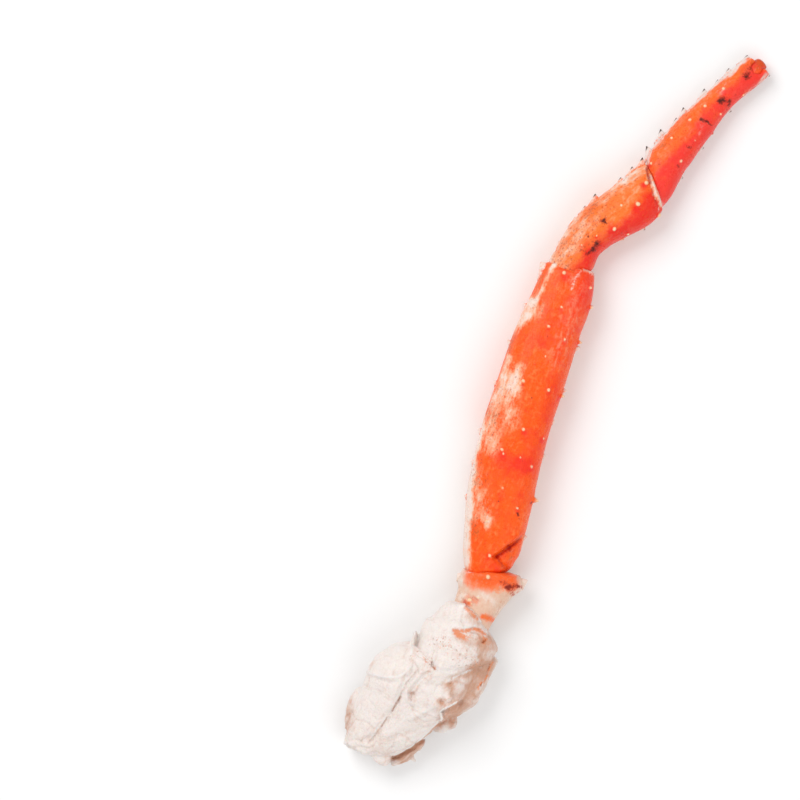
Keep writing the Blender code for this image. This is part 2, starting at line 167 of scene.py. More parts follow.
def wrapShell(look, unit):  # the share of the length and the place of every point of a unit sphere on the shell
    share, shrink, extra = ringTable(look)
    ring = np.rint(np.arccos(np.clip(-unit[:, 2], -1, 1)) / math.pi * (len(share) - 1)).astype(int)
    around = np.arctan2(unit[:, 1], unit[:, 0]) % (2 * math.pi)
    local = shellPoint(look, share[ring], shrink[ring], around)
    local[:, 0] += extra[ring]
    return share[ring], local


def turned(degrees):
    c, s = math.cos(math.radians(degrees)), math.sin(math.radians(degrees))
    return np.array([[c, -s, 0], [s, c, 0], [0, 0, 1]])


def jointSpot(name):
    return np.array([places[name][0] - legMiddle[0], places[name][1] - legMiddle[1], 0.0])


def toLeg(name, points):  # from a segment's own frame to the leg's, both in millimetres
    return points @ turned(places[name][2]).T + jointSpot(name)


def toSegment(name, points):
    return (points - jointSpot(name)) @ turned(places[name][2])


def pointsOf(mesh, source="vertices", field="co"):
    flat = np.empty(len(mesh.vertices) * 3)
    getattr(mesh, source).foreach_get(field, flat)
    return flat.reshape(-1, 3)


def setPoints(mesh, points):
    mesh.vertices.foreach_set("co", points.ravel())
    mesh.update()


def stand(name, data):  # a new object in the scene
    thing = bpy.data.objects.new(name, data)
    bpy.context.scene.collection.objects.link(thing)
    return thing


def rowOrder(face, sides, rings):  # a face's place in the rows of a unit sphere
    spot = face.calc_center_median()
    ring = math.acos(-spot.z / spot.length) / math.pi * rings
    around = math.atan2(spot.y, spot.x) / (2 * math.pi) * sides
    return math.floor(ring) * sides + math.floor(around) % sides


def sphereMesh(name, counts):  # one closed sphere for each (sides, rings), and the points of each as a slice
    bm = bmesh.new()
    slices = []
    for sides, rings in counts:
        single = bmesh.new()
        bmesh.ops.create_uvsphere(single, u_segments=sides, v_segments=rings, radius=1.0)
        single.faces.sort(key=lambda face: rowOrder(face, sides, rings))  # they come in another order every run
        part = bpy.data.meshes.new("part")
        single.to_mesh(part)
        single.free()
        slices.append(slice(len(bm.verts), len(bm.verts) + len(part.vertices)))
        bm.from_mesh(part)
        bpy.data.meshes.remove(part)
    mesh = bpy.data.meshes.new(name)
    bm.to_mesh(mesh)
    bm.free()
    return mesh, slices


# masks of the finish; the reddening mask also carries painted shade, the crease mask is painted shade in creases and
# joint gaps, and the rim mask carries painted highlights along raised rims as well as the spines' own pale colour
maskNames = ("pale", "blushAndShade", "rust", "speck", "burn", "creaseShade", "rimHighlightAndPaleSpine", "knob", "tip")
spineShape = {"sides": 12, "rings": 9, "sink": 1.4}


class Skin:  # a segment's mesh, its shell's points in its own frame in millimetres, and the masks of its finish
    def __init__(self, name, look):
        self.name, self.look = name, look
        look["curves"] = {key: curveThrough(readSpots(look[key])) for key in curveNames}

    def wear(self, mesh, shell, spines, spineList):
        self.mesh, self.shell, self.spines, self.spineList = mesh, shell, spines, spineList
        self.unit = pointsOf(mesh)
        self.masks = {mask: np.zeros(len(self.unit)) for mask in maskNames}

    def refresh(self):  # brings the mesh and its normals up to date with the points
        points = pointsOf(self.mesh)
        points[self.shell] = toLeg(self.name, self.local) * mm
        setPoints(self.mesh, points)
        self.normals = pointsOf(self.mesh, "vertex_normals", "vector")[self.shell]

    def settle(self):  # nothing dips below the ground
        self.local[:, 2] = np.maximum(self.local[:, 2], 0.0)
        self.refresh()

    def push(self, amount):  # moves the shell along its normals, in millimetres
        self.local = self.local + (self.normals * np.reshape(amount, (-1, 1))) @ turned(places[self.name][2])

    def add(self, mask, amount):
        self.masks[mask][self.shell] += amount


def upperSide(skin, low=0.4, high=0.65):  # 1 on the upper side and 0 below
    return ease(low, high, skin.local[:, 2] / skin.look["size"][2])


def pressForms(skin, forms):  # creases, ridges and hollows of the upper side: (path in plan, rise, width)
    x, y = skin.local[:, 0], skin.local[:, 1]
    upper = upperSide(skin)
    rise = sum(height * hump(awayFrom(readSpots(path), x, y), width) for path, height, width in forms)
    skin.local[:, 2] += upper * rise


def pressEdges(skin, edges):  # plate edges: (path, rise on its left, rise on its right, reach)
    x = skin.local[:, 0] + 0.5 * fractal(skin.local, 3.0, 12)
    y = skin.local[:, 1] + 0.5 * fractal(skin.local, 3.0, 13)
    for path, left, right, reach in edges:
        off = sideOf(readSpots(path), x, y)
        step = right + (left - right) * ease(-0.5, 0.5, off)
        skin.local[:, 2] += upperSide(skin, 0.2, 0.45) * hump(off, reach) * step


def crownAt(points, spot):  # the highest point close to a spot of the plan
    away = np.hypot(points[:, 0] - spot[0], points[:, 1] - spot[1])
    return points[away < max(1.2, away.min() + 0.3), 2].max()


def paint(skin, frameName, mask, strokes, wander, pitch, seed):  # (path, width, strength), or all left of a path
    leg = toLeg(skin.name, skin.local)
    own = toSegment(frameName, leg)
    x = own[:, 0] + wander * fractal(leg, pitch, seed)
    y = own[:, 1] + wander * fractal(leg, pitch, seed + 9)
    side = upperSide(skin, *skin.look.get("paintedAbove", (0.2, 0.45)))
    for text, width, strength, *fill in strokes:
        path = readSpots(text)
        if fill:
            low, high = min(path)[0], max(path)[0]
            cover = ease(-width, width, sideOf(path, x, y)) * ease(low - 5, low + 3, x) * ease(high + 5, high - 3, x)
        else:
            crown = min(crownAt(own, spot) for spot in path)
            cover = side * hump(awayFrom(path, x, y), width)
            cover = cover * ease(crown - 3 * width - 1.5, crown - 0.5 * width, own[:, 2])
        skin.add(mask, strength * cover)


def raiseKnobs(skin, knobs, seed, height=1.0, radius=1.05):  # the cream-topped knobs, each with a painted shadow spot towards the base of the segment: x, y, size, pointedness
    draw = random.Random(seed)
    upper = upperSide(skin, 0.3, 0.45)
    lift = np.zeros(len(skin.local))
    for knob in knobs:
        x, y, size, point = (*knob, 1.0, 1.0)[:4]
        size *= draw.uniform(0.8, 1.2)
        size *= 1.25 if point > 1 else 1.0
        long, turn = draw.uniform(0.8, 1.0), draw.uniform(0, 3.1)
        dx, dy = skin.local[:, 0] - x, skin.local[:, 1] - y
        dz = skin.local[:, 2] - skin.local[np.argmin(np.hypot(dx, dy) + 99 * (upper < 0.5)), 2]
        across, along = dx * math.cos(turn) + dy * math.sin(turn), dy * math.cos(turn) - dx * math.sin(turn)
        away = np.sqrt(across ** 2 + (along * long) ** 2 + dz ** 2) * upper + 99 * (1 - upper)
        lift += height * size * point * (ease(radius * size * 1.2, 0.0, away) + 0.2 * hump(away, radius * size * 2.0))
        skin.add("knob", draw.uniform(0.75, 1.0) * ease(radius * size * 1.0, radius * size * 0.45, away))
        # a painted shadow spot beside the knob, on the side away from the light
        below = np.hypot(dx + 1.5 * size, dy + draw.uniform(-0.3, 0.9) * size)
        skin.add("blushAndShade", draw.uniform(0.25, 0.85) * upper * hump(below, draw.uniform(1.1, 2.2) * size))
    skin.push(lift)


def spinesOf(look, seed):  # every spine of the edges and the underside: (share, around, height, radius, back)
    draw = random.Random(seed)
    rows = []
    for degrees, feet, radius, back in look.get("spines", []):
        for x, height in readSpots(feet):
            size = draw.uniform(0.92, 1.1)
            share = (x - 0.25 * height) / look["size"][0]
            around = math.radians(degrees + draw.uniform(-3, 3))
            rows.append((share, around, height * size, radius * size, back * size))
    return rows


def growSpines(skin):  # saw-like thorns with a long back, whose points lean towards the tip of the leg
    points = pointsOf(skin.mesh) / mm
    lengthways = np.array([1.0, 0.0, 0.0])
    for piece, (share, around, height, radius, back) in zip(skin.spines, skin.spineList):
        foot = shellPoint(skin.look, np.array([share]), 1.0, np.array([around]))[0]
        axis = shellNormal(skin.look, np.array([share]), np.array([around]))[0]
        side = np.cross(axis, lengthways)
        side /= np.linalg.norm(side)
        forward = np.cross(side, axis)
        unit = skin.unit[piece]
        along = np.arccos(np.clip(-unit[:, 2], -1, 1)) / math.pi  # 0 at the sunk end and 1 at the tip
        rise = along * (height + spineShape["sink"]) - spineShape["sink"]
        up = np.clip(rise / height, 0, 1)
        close = np.clip(along / 0.12, 0, 1) ** 0.5 * np.clip((1 - along) / 0.1, 0, 1) ** 0.5
        angle = np.arctan2(unit[:, 1], unit[:, 0])
        thick = radius * (0.14 + 0.86 * (1 - up)) * close
        rear = (0.14 * radius + back * (1 - up) ** 1.15) * close
        sway = 0.25 * height * up + np.where(np.sin(angle) > 0, thick, rear) * np.sin(angle)
        local = foot + np.outer(rise, axis) + np.outer(thick * np.cos(angle), side) + np.outer(sway, forward)
        local[:, 2] = np.maximum(local[:, 2], 0.0)
        points[piece] = toLeg(skin.name, local)
        fades = skin.look.get("darkTips", 1.0) if height > 1.0 else 0.4
        skin.masks["tip"][piece] = ease(0.5, 0.85, up) * fades
        skin.masks["rimHighlightAndPaleSpine"][piece] = skin.look.get("paleSpines", 0.7) * (0.6 + 0.4 * ease(0.0, 0.4, up))
    setPoints(skin.mesh, points * mm)


def treeOf(skin):
    faces = [tuple(face.vertices) for face in skin.mesh.polygons if face.vertices[0] < skin.shell.stop]
    return BVHTree.FromPolygons(toLeg(skin.name, skin.local).tolist(), faces)


def clearance(skin, name, reach=4.0):  # signed distance from a neighbour's skin, positive outside
    found = np.full(len(skin.local), reach)
    points = toLeg(skin.name, skin.local)
    low, high = (edge(toLeg(name, skins[name].local), axis=0) for edge in (np.min, np.max))
    near = np.all((points > low - reach) & (points < high + reach), axis=1)
    for i in np.nonzero(near)[0]:
        point = Vector(points[i])
        spot, normal, _, distance = trees[name].find_nearest(point)
        found[i] = min(reach, math.copysign(distance, (point - spot).dot(normal)))
    return found


def finishPiece(skin, material):
    for name in maskNames:
        values = np.clip(skin.masks[name], 0, 2).astype(np.float32)
        skin.mesh.attributes.new(name, "FLOAT", "POINT").data.foreach_set("value", values)
    skin.mesh.materials.append(material)
    skin.mesh.shade_smooth()
    piece = stand(skin.name + "_shell", skin.mesh)
    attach(piece, "root")
    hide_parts(skin.name)
    print(piece.name, "has", len(skin.mesh.polygons), "faces")


class Wire:  # a socket whose operators add Math nodes
    def __init__(self, board, socket):
        self.board, self.socket = board, socket

    def math(self, operation, other, flip=False):
        pair = {0: other, 1: self} if flip else {0: self, 1: other}
        return self.board.node("ShaderNodeMath", {"operation": operation}, pair)

    def __add__(self, other): return self.math("ADD", other)
    __radd__ = __add__
    def __mul__(self, other): return self.math("MULTIPLY", other)
    __rmul__ = __mul__
    def __sub__(self, other): return self.math("SUBTRACT", other)
    def __rsub__(self, other): return self.math("SUBTRACT", other, flip=True)

    def between(self, low, high):  # 0 below low, 1 above high, and smooth between them
        return self.board.node("ShaderNodeMapRange", {"interpolation_type": "SMOOTHSTEP"},
                               {"Value": self, "From Min": low, "From Max": high})


class Board:  # one material's nodes
    def __init__(self, name):
        self.material = bpy.data.materials.new(name)
        self.material.use_nodes = True
        self.nodes, self.links = self.material.node_tree.nodes, self.material.node_tree.links
        self.shader = self.nodes["Principled BSDF"]

    def node(self, kind, settings=None, inputs=None, output=0):
        made = self.nodes.new(kind)
        for key, value in (settings or {}).items():
            setattr(made, key, value)
        for key, value in (inputs or {}).items():
            self.feed(made.inputs[key], value)
        return Wire(self, made.outputs[output])

    def feed(self, socket, value):
        if isinstance(value, Wire):
            self.links.new(value.socket, socket)
        else:
            socket.default_value = value

    def surface(self, values):
        for name, value in values.items():
            self.feed(self.shader.inputs[name], value)

    def mask(self, name):
        return self.node("ShaderNodeAttribute", {"attribute_name": name}, output="Fac")

    def mix(self, factor, first, second):  # two colours
        made = self.nodes.new("ShaderNodeMix")
        made.data_type, made.clamp_factor = "RGBA", True
        for index, value in ((0, factor), (6, first), (7, second)):
            self.feed(made.inputs[index], (*value, 1.0) if isinstance(value, tuple) else value)
        return Wire(self, made.outputs[2])

    def wander(self, coords, scale, detail, roughness):  # noise spread to about -1 to 1
        made = self.node("ShaderNodeTexNoise", {"noise_dimensions": "3D"},
                         {"Vector": coords, "Scale": scale, "Detail": detail, "Roughness": roughness})
        return (made - 0.5) * 6.0

    def specks(self, coords, scale, size, amount, ragged):  # round specks, one for some of the cells, of uneven size
        cells = {"Vector": coords, "Scale": scale}
        near = self.node("ShaderNodeTexVoronoi", {"feature": "F1"}, cells)
        cellColour = self.node("ShaderNodeTexVoronoi", {}, cells, "Color")
        draw = self.node("ShaderNodeSeparateColor", {}, {0: cellColour}, "Red")
        chosen = draw + amount - 1.0
        reach = chosen.between(0.0, 0.5) * 0.6 * size + size * 0.4 + ragged * 0.07 - near
        return reach.between(0.0, size * 0.5) * chosen.between(0.0, 0.05)


def tone(red, green, blue):  # a screen colour as the shader takes it
    return tuple(c / 12.92 if c <= 0.04045 else ((c + 0.055) / 1.055) ** 2.4
                 for c in (red / 255, green / 255, blue / 255))


noises = {  # scale, detail and roughness
    "round": ((75.0, 2.0, 0.55), (190.0, 3.0, 0.55), (430.0, 3.0, 0.65), (1000.0, 2.0, 0.65)),
    "long": (480.0, 3.0, 0.65),
}


def shellFinish(name, segment, colours, gloss):
    board = Board(name)
    coords = board.node("ShaderNodeTexCoord", output="Object")
    heading = math.radians(places[segment][2])
    straight = board.node("ShaderNodeMapping", {}, {"Vector": coords, "Rotation": (0, 0, -heading)})
    streaky = board.node("ShaderNodeMapping", {}, {"Vector": straight, "Scale": (0.25, 1.0, 1.0)})
    cloud, blotch, mottle, fleck = (board.wander(coords, *noise) for noise in noises["round"])
    streak = board.wander(streaky, *noises["long"])
    masks = {mask: board.mask(mask) for mask in maskNames}
    much = colours["mottling"]

    rednessAndShade = masks["blushAndShade"] + cloud * colours["clouding"] + blotch * 0.16 + streak * 0.13 + fleck * 0.06
    rednessAndShade = rednessAndShade.between(-0.05, 1.05)
    brighter = (mottle * 0.6 + blotch * 0.45 + streak * 0.45).between(-0.1, 1.4)
    darker = fleck * 0.5 - mottle * 0.4 - streak * 0.35
    rusty = masks["rust"]
    rust = rusty + (mottle * 0.3 + blotch * 0.2 + fleck * 0.2) * rusty.between(0.0, 0.35)

    edge = masks["pale"].between(0.0, 0.4)
    pale = masks["pale"] + (streak * 0.26 + mottle * 0.2 + blotch * 0.2 + fleck * 0.18) * edge
    grained = (fleck * 0.7 + mottle * 0.5).between(0.25, 1.1) * 0.45

    amount = masks["speck"] + cloud * 0.2 - 0.05
    freckles = (mottle * 0.45 + fleck * 0.75 - 0.1).between(0.0, 1.0) * amount.between(0.2, 1.2)
    dots = board.specks(coords, 470.0, 0.4, amount, fleck)
    spots = board.specks(coords, 300.0, 0.27, amount - 0.4, fleck)

    ragged = fleck * 0.22 + mottle * 0.25
    creaseShade = masks["creaseShade"] + ragged * 0.45 * masks["creaseShade"].between(0.0, 0.35)
    rimHighlightAndPaleSpine = masks["rimHighlightAndPaleSpine"] + (mottle * 0.25 + fleck * 0.2) * masks["rimHighlightAndPaleSpine"].between(0.0, 0.3)
    char = masks["burn"] + (ragged * 1.3 + blotch * 0.15) * masks["burn"].between(0.0, 0.4)

    colour = tone(*colours["base"])
    for share, layer in (  # from the lowest layer of colour to the highest
        # the shell's redness, together with painted shade below knobs, along wrinkles and plate edges and on the
        # sides away from the light
        (rednessAndShade, "blushAndShade"),
        (brighter * (1.0 - rednessAndShade * 0.85) * much, "light"),
        (darker.between(-0.05, 1.3) * much, "deep"),
        (rust.between(0.1, 1.15) * 0.8, "rust"),
        (pale.between(0.0, 1.0) * (1.0 - grained), "pale"),
        (pale.between(0.65, 1.5) * (1.0 - grained), "white"),
        (freckles * 0.6, "rust"),
        (dots * 0.4, "speck"),
        (spots * 0.46, "speck"),
        # painted shade in creases, folds and joint gaps
        (creaseShade.between(0.05, 1.15), "creaseShade"),
        # painted highlights along raised rims and knob ridges, and the spines' own pale colour
        (rimHighlightAndPaleSpine.between(0.1, 1.0), "white"),
        (masks["knob"].between(0.05, 1.0), "knob"),
        (char.between(0.1, 0.8) * 0.7, "scorch"),
        (char.between(0.5, 1.25) * 0.88, "burn"),
        (masks["tip"].between(0.1, 0.9), "tip"),
    ):
        colour = board.mix(share, colour, tone(*colours[layer]))

    roughness = mottle * 0.05 + cloud * 0.04 + char.between(0.3, 1.0) * 0.25 + gloss["roughness"]
    height = fleck * 0.14 + mottle * 0.22 + streak * 0.2 + blotch * 0.2
    bump = board.node("ShaderNodeBump", {}, {"Height": height, "Strength": gloss["bump"], "Distance": 0.0006})
    board.surface({"Base Color": colour, "Roughness": roughness, "Normal": bump, **gloss["sockets"]})
    return board.material


redColours = {
    "base": (255, 92, 14), "blushAndShade": (246, 50, 26), "light": (255, 138, 74), "deep": (240, 56, 12),
    "rust": (204, 84, 26), "pale": (244, 176, 138), "white": (240, 218, 206), "speck": (172, 62, 26),
    "creaseShade": (170, 24, 10), "knob": (246, 214, 172), "scorch": (158, 36, 18), "burn": (84, 26, 18),
    "tip": (62, 36, 30), "clouding": 0.18, "mottling": 0.72,
}
carpusColours = dict(redColours, base=(255, 120, 46), blushAndShade=(240, 38, 22), light=(255, 170, 116),
                     deep=(240, 82, 24), burn=(58, 22, 20), mottling=0.75)
propodusColours = dict(redColours, base=(254, 107, 36), blushAndShade=(246, 58, 48), light=(255, 150, 110),
                       deep=(234, 60, 26), burn=(58, 24, 18), pale=(236, 190, 176), white=(232, 218, 212),
                       mottling=0.75)
mottledColours = dict(redColours, base=(228, 190, 166), blushAndShade=(250, 98, 32), light=(238, 214, 198),
                      deep=(224, 156, 122), rust=(240, 122, 54), pale=(234, 212, 198), creaseShade=(216, 60, 22),
                      burn=(122, 18, 6), scorch=(202, 60, 24), clouding=0.1, mottling=0.5)
paleColours = dict(redColours, base=(240, 230, 224), blushAndShade=(208, 160, 134), light=(245, 240, 238),
                   deep=(218, 200, 190), rust=(236, 128, 60), pale=(238, 231, 226), white=(240, 235, 231),
                   speck=(160, 124, 100), creaseShade=(150, 92, 58), burn=(96, 48, 28), scorch=(166, 84, 46),
                   clouding=0.08, mottling=0.4)


def glossOf(roughness, bump, specular, coat, coatRoughness, glow):
    return {"roughness": roughness, "bump": bump, "sockets": {
        "Specular IOR Level": specular, "Coat Weight": coat, "Coat Roughness": coatRoughness,
        "Subsurface Weight": glow, "Subsurface Radius": (1.0, 0.35, 0.2), "Subsurface Scale": 0.0015}}


wetGloss = glossOf(roughness=0.3, bump=0.6, specular=0.18, coat=0.09, coatRoughness=0.16, glow=0.06)
paleGloss = glossOf(roughness=0.42, bump=0.9, specular=0.3, coat=0.08, coatRoughness=0.25, glow=0.12)


merusLook = {  # the long segment
    "size": (178, 39, 33.5),
    "half": "0,0.34 0.035,0.4 0.12,0.46 0.26,0.5 0.5,0.495 0.72,0.485 0.8,0.47 0.89,0.45 0.96,0.41 1,0.37",
    "bow": "0,0.6 0.12,3.4 0.26,5.8 0.45,6.8 0.6,5.4 0.8,3.4 0.9,1 1,0.5",
    "crown": "0,0.9 0.1,0.96 0.3,1 0.6,0.99 0.85,0.92 0.94,0.86 1,0.81",
    "belly": "0,0.14 0.1,0.04 0.22,-0.02 0.8,-0.02 0.9,0.03 1,0.1",
    "skew": "0,-0.4 0.12,0 1,0",
    "domes": (7, 4), "squareness": (2.35, 2.6), "sides": 200, "rings": 310, "domeRings": 9,
    "forms": [
        ("22,-13.5 14,-6.4 6.5,-0.6", -2.2, 1.2), ("23,-11 15,-4.4 8,1.5", 0.5, 1.6),
        ("6.5,-0.6 3.1,-5.6 1.5,-10", -1.6, 1.5), ("4,1 0.4,-5", 0.6, 1.4), ("12,-10 8,-11", -1.3, 3.2),
        ("4.5,-14 1.2,-12 -0.6,-7", -1, 0.9), ("14.2,-9.4 12.1,-8", 0.6, 1), ("9.5,-11 7.3,-8.4", 0.5, 1),
        ("179,10 172.5,11.9 163.8,13.1 156,15.2", 0.9, 1.3), ("175,14.5 166,16 158,18", -0.9, 2),
        ("167.3,-2.5 171,-2.4 175,-3.4 178.5,-5 181,-7.5", 0.8, 0.9), ("166,-6 172,-10 174,-15", 0.5, 3.4),
        ("168,0 176,-1.5", -0.7, 2.2),
    ],
    "knobs": "174.7,4.1,1.2 155.2,0.5 142.6,4.9 137.8,-6,1.1 170.5,-12,1,2 159.9,-15.4,1,2 138.8,-14.4,1,2 "
        "108.5,10.6,1.1 107.3,-4.7 106.2,-12.8,1,2 81.7,3.3 79.7,-9.3 67.3,12,0.95 65.2,10.6,0.7 "
        "65.6,0.7,0.75 62.2,-6.9,0.9 46,6.1 43.8,-13.4,1.3,2 37.1,-5.3,0.8 25.3,9.5 22.8,9,0.6 "
        "6.7,2.7,1.15 120,7,0.5 125.5,2,0.5",
    "spines": [
        (8, "177,3.6", 2.4, 9), (4, "36,1.4 56,1.3 75,1.8 104,1.9 129,2.1 152,1.7", 1.5, 2.8),
        (176, "22,1.6 45,2.2 70,1.7 91,1.3 110,2.2 136,2.2 161,2.2", 1.5, 2.4),
        (216, "53,1.6 98,1.6 142,1.6", 1.6, 2.2), (326, "53,1.6 98,1.6 142,1.6", 1.6, 2.2),
    ],
    "darkTips": 0, "paleSpines": 0.9,
}
merusPaint = {
    "pale": [
        # the shell's own pale sides and patches, which along the upper left also serve as painted sheen for the soft
        # wet highlights
        ("137,24 145.8,19 153,18", 3.6, 1.2), ("108,22.5 119.3,22.5", 2.4, 0.8), ("104,15 115,14.5", 3.6, 0.75),
        ("108,18.5 100.7,21.7", 4.2, 0.68), ("98.5,15.5 92,15.5 87,12", 6.5, 0.58), ("96,24 90,24.5", 3.8, 0.7),
        ("79,23 72,20.5 68,19", 6, 0.68), ("48,22 37,18 28,13", 6, 0.55), ("28,10.5 22,8.4", 2, 0.6),
        ("-4,11.4 4,13.2 15.7,15.9 28.6,19.2 44,22.9 53,24.2 75,24.8 84,26.5", 1.7, 1.4, "fill"),
        ("100,26 112,24.5 122,25 138,25 150,20.5 156,18.8", 1.6, 0.75, "fill"),
        ("179,10.4 172.5,11.9 163.8,13.1 155,15.4", 1.5, 0.8), ("181,9.5 176,11", 1.6, 0.6),
        ("155,15 148,13.5", 4, 0.45), ("172,-4 158,-6 140,-6 125,-4", 9, 0.24),
        ("181.5,-4.5 180.8,-12", 2, 0.9), ("85,-14.4 40,-15 2,-14.2", 0.7, 0.45, "fill"),
    ],
    "blushAndShade": [
        ("63,11 60.5,6 63,-1", 6, 0.7), ("42,4", 4, 0.4), ("44.4,-5.3", 4, 0.35), ("24,-4 5,-2", 5, 0.1),
        ("79,2", 4.6, 0.35), ("176,-9 168,-12 160,-14", 7.5, 0.3), ("170,2 150,2 136,6", 10, 0.3),
        ("176,-9 140,-9 100,-8 60,-9", 7.5, 0.45), ("126,13 133,8", 6, 0.3), ("6,4 0,6 0,-4", 3.2, 0.5),
        # the stroke beside the dent at the base is painted shade
        ("17,-9.5 10,-5", 3, 0.5),
    ],
    "rust": [
        ("136,23.6 123,24.2", 3, 0.8), ("88,27 84,21", 3.8, 0.7), ("54,26.4 46,21", 3.2, 0.8),
        ("27,19.4 17,13.6", 3.2, 0.55), ("158,15 153,12", 4, 0.5), ("166,16.4 175,16", 3.4, 0.45),
        ("13,-9 8,-11", 3, 0.35),
    ],
    "speck": [
        ("98,20 70,20 40,17 18,12", 6.5, 0.75), ("158,16 153,13", 4.5, 1), ("136,24 123,24", 4, 0.8),
        ("88,26 84,22", 4, 1), ("54,26 46,22", 3.5, 1), ("112,14 102,17", 5, 0.6),
        ("120,-4 60,-4", 9, 0.12),
    ],
    "burn": [
        ("38.2,6.1", 0.75, 1.1), ("34.3,-6.4 33.2,-7", 0.75, 1), ("31.4,-7.9", 0.55, 0.9), ("100.6,3", 0.7, 0.8),
        ("41.9,-13.2", 1, 0.9), ("73.8,19.6", 0.7, 0.8), ("136.6,3.9", 0.6, 0.7), ("106.2,10.2", 0.7, 0.9),
        ("64,-1.2", 0.5, 0.6),
    ],
    "creaseShade": [
        # painted shade in the dent and folds at the base and along the seams
        ("22,-13 14,-7.2 7,-1.6", 1.2, 0.7), ("15,-9 9,-5", 3.2, 0.22), ("6.6,-1.8 3.1,-5.8 2,-10", 1.2, 0.6),
        ("15,-6.2 12.5,-8", 0.9, 0.4), ("4.5,-13.6 1.4,-11.6 -0.4,-7", 0.9, 0.6),
    ],
    "rimHighlightAndPaleSpine": [
        # painted highlights along the raised lips
        ("167.3,-2.5 170.4,-2.4 174.6,-3.3 178.1,-4.8 181,-7", 0.9, 0.5), ("181.4,-8 180,-10.4 178.8,-13", 1.5, 0.7),
        ("2.4,-13.8 -0.6,-11.4", 0.7, 0.5),
    ],
}


carpusLook = {  # the bent segment
    "size": (66, 30, 27.5),
    "half": "0,0.38 0.12,0.43 0.24,0.41 0.36,0.43 0.5,0.465 0.65,0.49 0.8,0.5 0.93,0.48 1,0.44",
    "bow": "0,2.6 0.12,4.2 0.25,7 0.36,7.2 0.5,6 0.65,4 0.8,2.4 1,1.8",
    "crown": "0,1 0.2,1 0.45,1.02 0.7,1.02 0.9,0.96 1,0.9",
    "belly": "0,0.15 0.2,0.08 0.5,0 0.8,0 1,0.06",
    "skew": "0,0 0.5,0 1,0.42",
    "domes": (12, 1.5), "squareness": (2.25, 2.4), "sides": 180, "rings": 130, "domeRings": 9,
    "forms": [
        ("4,-2 14,-4 26,-3", -0.7, 3.5), ("70.6,12.3 67.4,8 64.2,2 61.4,-3.5 59.8,-8.5", -0.9, 0.9),
        ("67.5,5.5 65.2,0.5 63.8,-4.5 62.4,-9", 0.8, 1.3), ("30,-10 40,-9.5", -0.6, 3), ("56,12 68,15", -0.8, 3),
    ],
    "knobs": "44.3,6.8 51.7,0.8,1.25 32.1,-0.1,1.2 63.7,6.2,1.7 36.5,-7.5 61.4,-3.7,0.7 57,-11.6,1.6 22,4,0.5 "
        "12,6,0.5",
    "spines": [
        (6, "67,4.6 60.5,2.6 53,1.6 38.5,3 30,1.2 21,0.9 5,0.9", 1.2, 6.5), (176, "33,1 48,1.2", 1.2, 2),
        (214, "30,1.5 50,1.5", 1.4, 2),
    ],
}
carpusPaint = {
    "pale": [
        ("-8,9.5 1.9,14.4 12.9,17.2 27,20.6 37,20.4 52,16.6 66,15", 1.8, 0.85, "fill"), ("-8,8 6,11 22,14", 6.5, 0.6),
        ("38,16.5 56,15", 3.4, 0.45), ("68,7 65.6,1 64,-3 63,-6 62,-10", 1.5, 1.25),
        # the short stroke from 50,7 to 57,8.2 is a painted highlight
        ("57,17 64,14 69,13.5", 3.4, 0.6), ("50,7 57,8.2", 3, 0.3),
        ("60,-13 40,-12.4 24,-7.6 16,-7.4", 0.8, 0.6, "fill"),
    ],
    "blushAndShade": [
        ("70,3 56,-1 46.7,-1.8 37.4,0 27,1.5 18,3 10.5,2.5 -8,-3", 6, 0.95, "fill"),
        # the stroke from 34,-4.3 to 46,-8.5 is a painted shadow
        ("34,-4.3 40.2,-6.2 46,-8.5", 2.6, 0.5), ("50,1 62,2", 5, 0.35),
    ],
    "rust": [("0,12 20,16 34,17", 3.6, 0.65), ("60,16 66,12", 2.4, 0.6)],
    "speck": [("-8,9 11,12 36,16", 8, 1.2), ("-4,3 28,10", 5.5, 0.8), ("40,15 62,14", 5, 0.7)],
    "burn": [
        ("30.6,7.2", 2.3, 0.75), ("31,7.6", 1.1, 0.5), ("11,0.4 15,-0.6", 1.2, 0.8), ("16,-0.6 19.6,0.2", 2, 0.85),
        ("18.8,0.4", 1.2, 0.5), ("36,-6.4 33,-5", 2, 0.3), ("18.4,7.2", 0.6, 1.2), ("20.3,17.7", 0.5, 0.9),
        ("14.7,9.9", 0.45, 0.8), ("34.3,0.2", 0.6, 0.8), ("2,15 5,16", 0.5, 0.7),
    ],
    "creaseShade": [
        # painted shade along the distal seam
        ("71,12.5 68.4,9.6 65.6,5", 1.1, 0.85), ("64.2,2 61.4,-3.5 59.8,-8.5", 0.7, 0.5),
        ("58,-12.2 60.5,-12.6", 0.6, 0.5),
    ],
    # painted highlights along the condyle
    "rimHighlightAndPaleSpine": [("66,2 64.4,-3 63.2,-6 62,-10", 1, 0.45), ("59.5,-9 57.5,-12", 0.8, 0.3)],
}


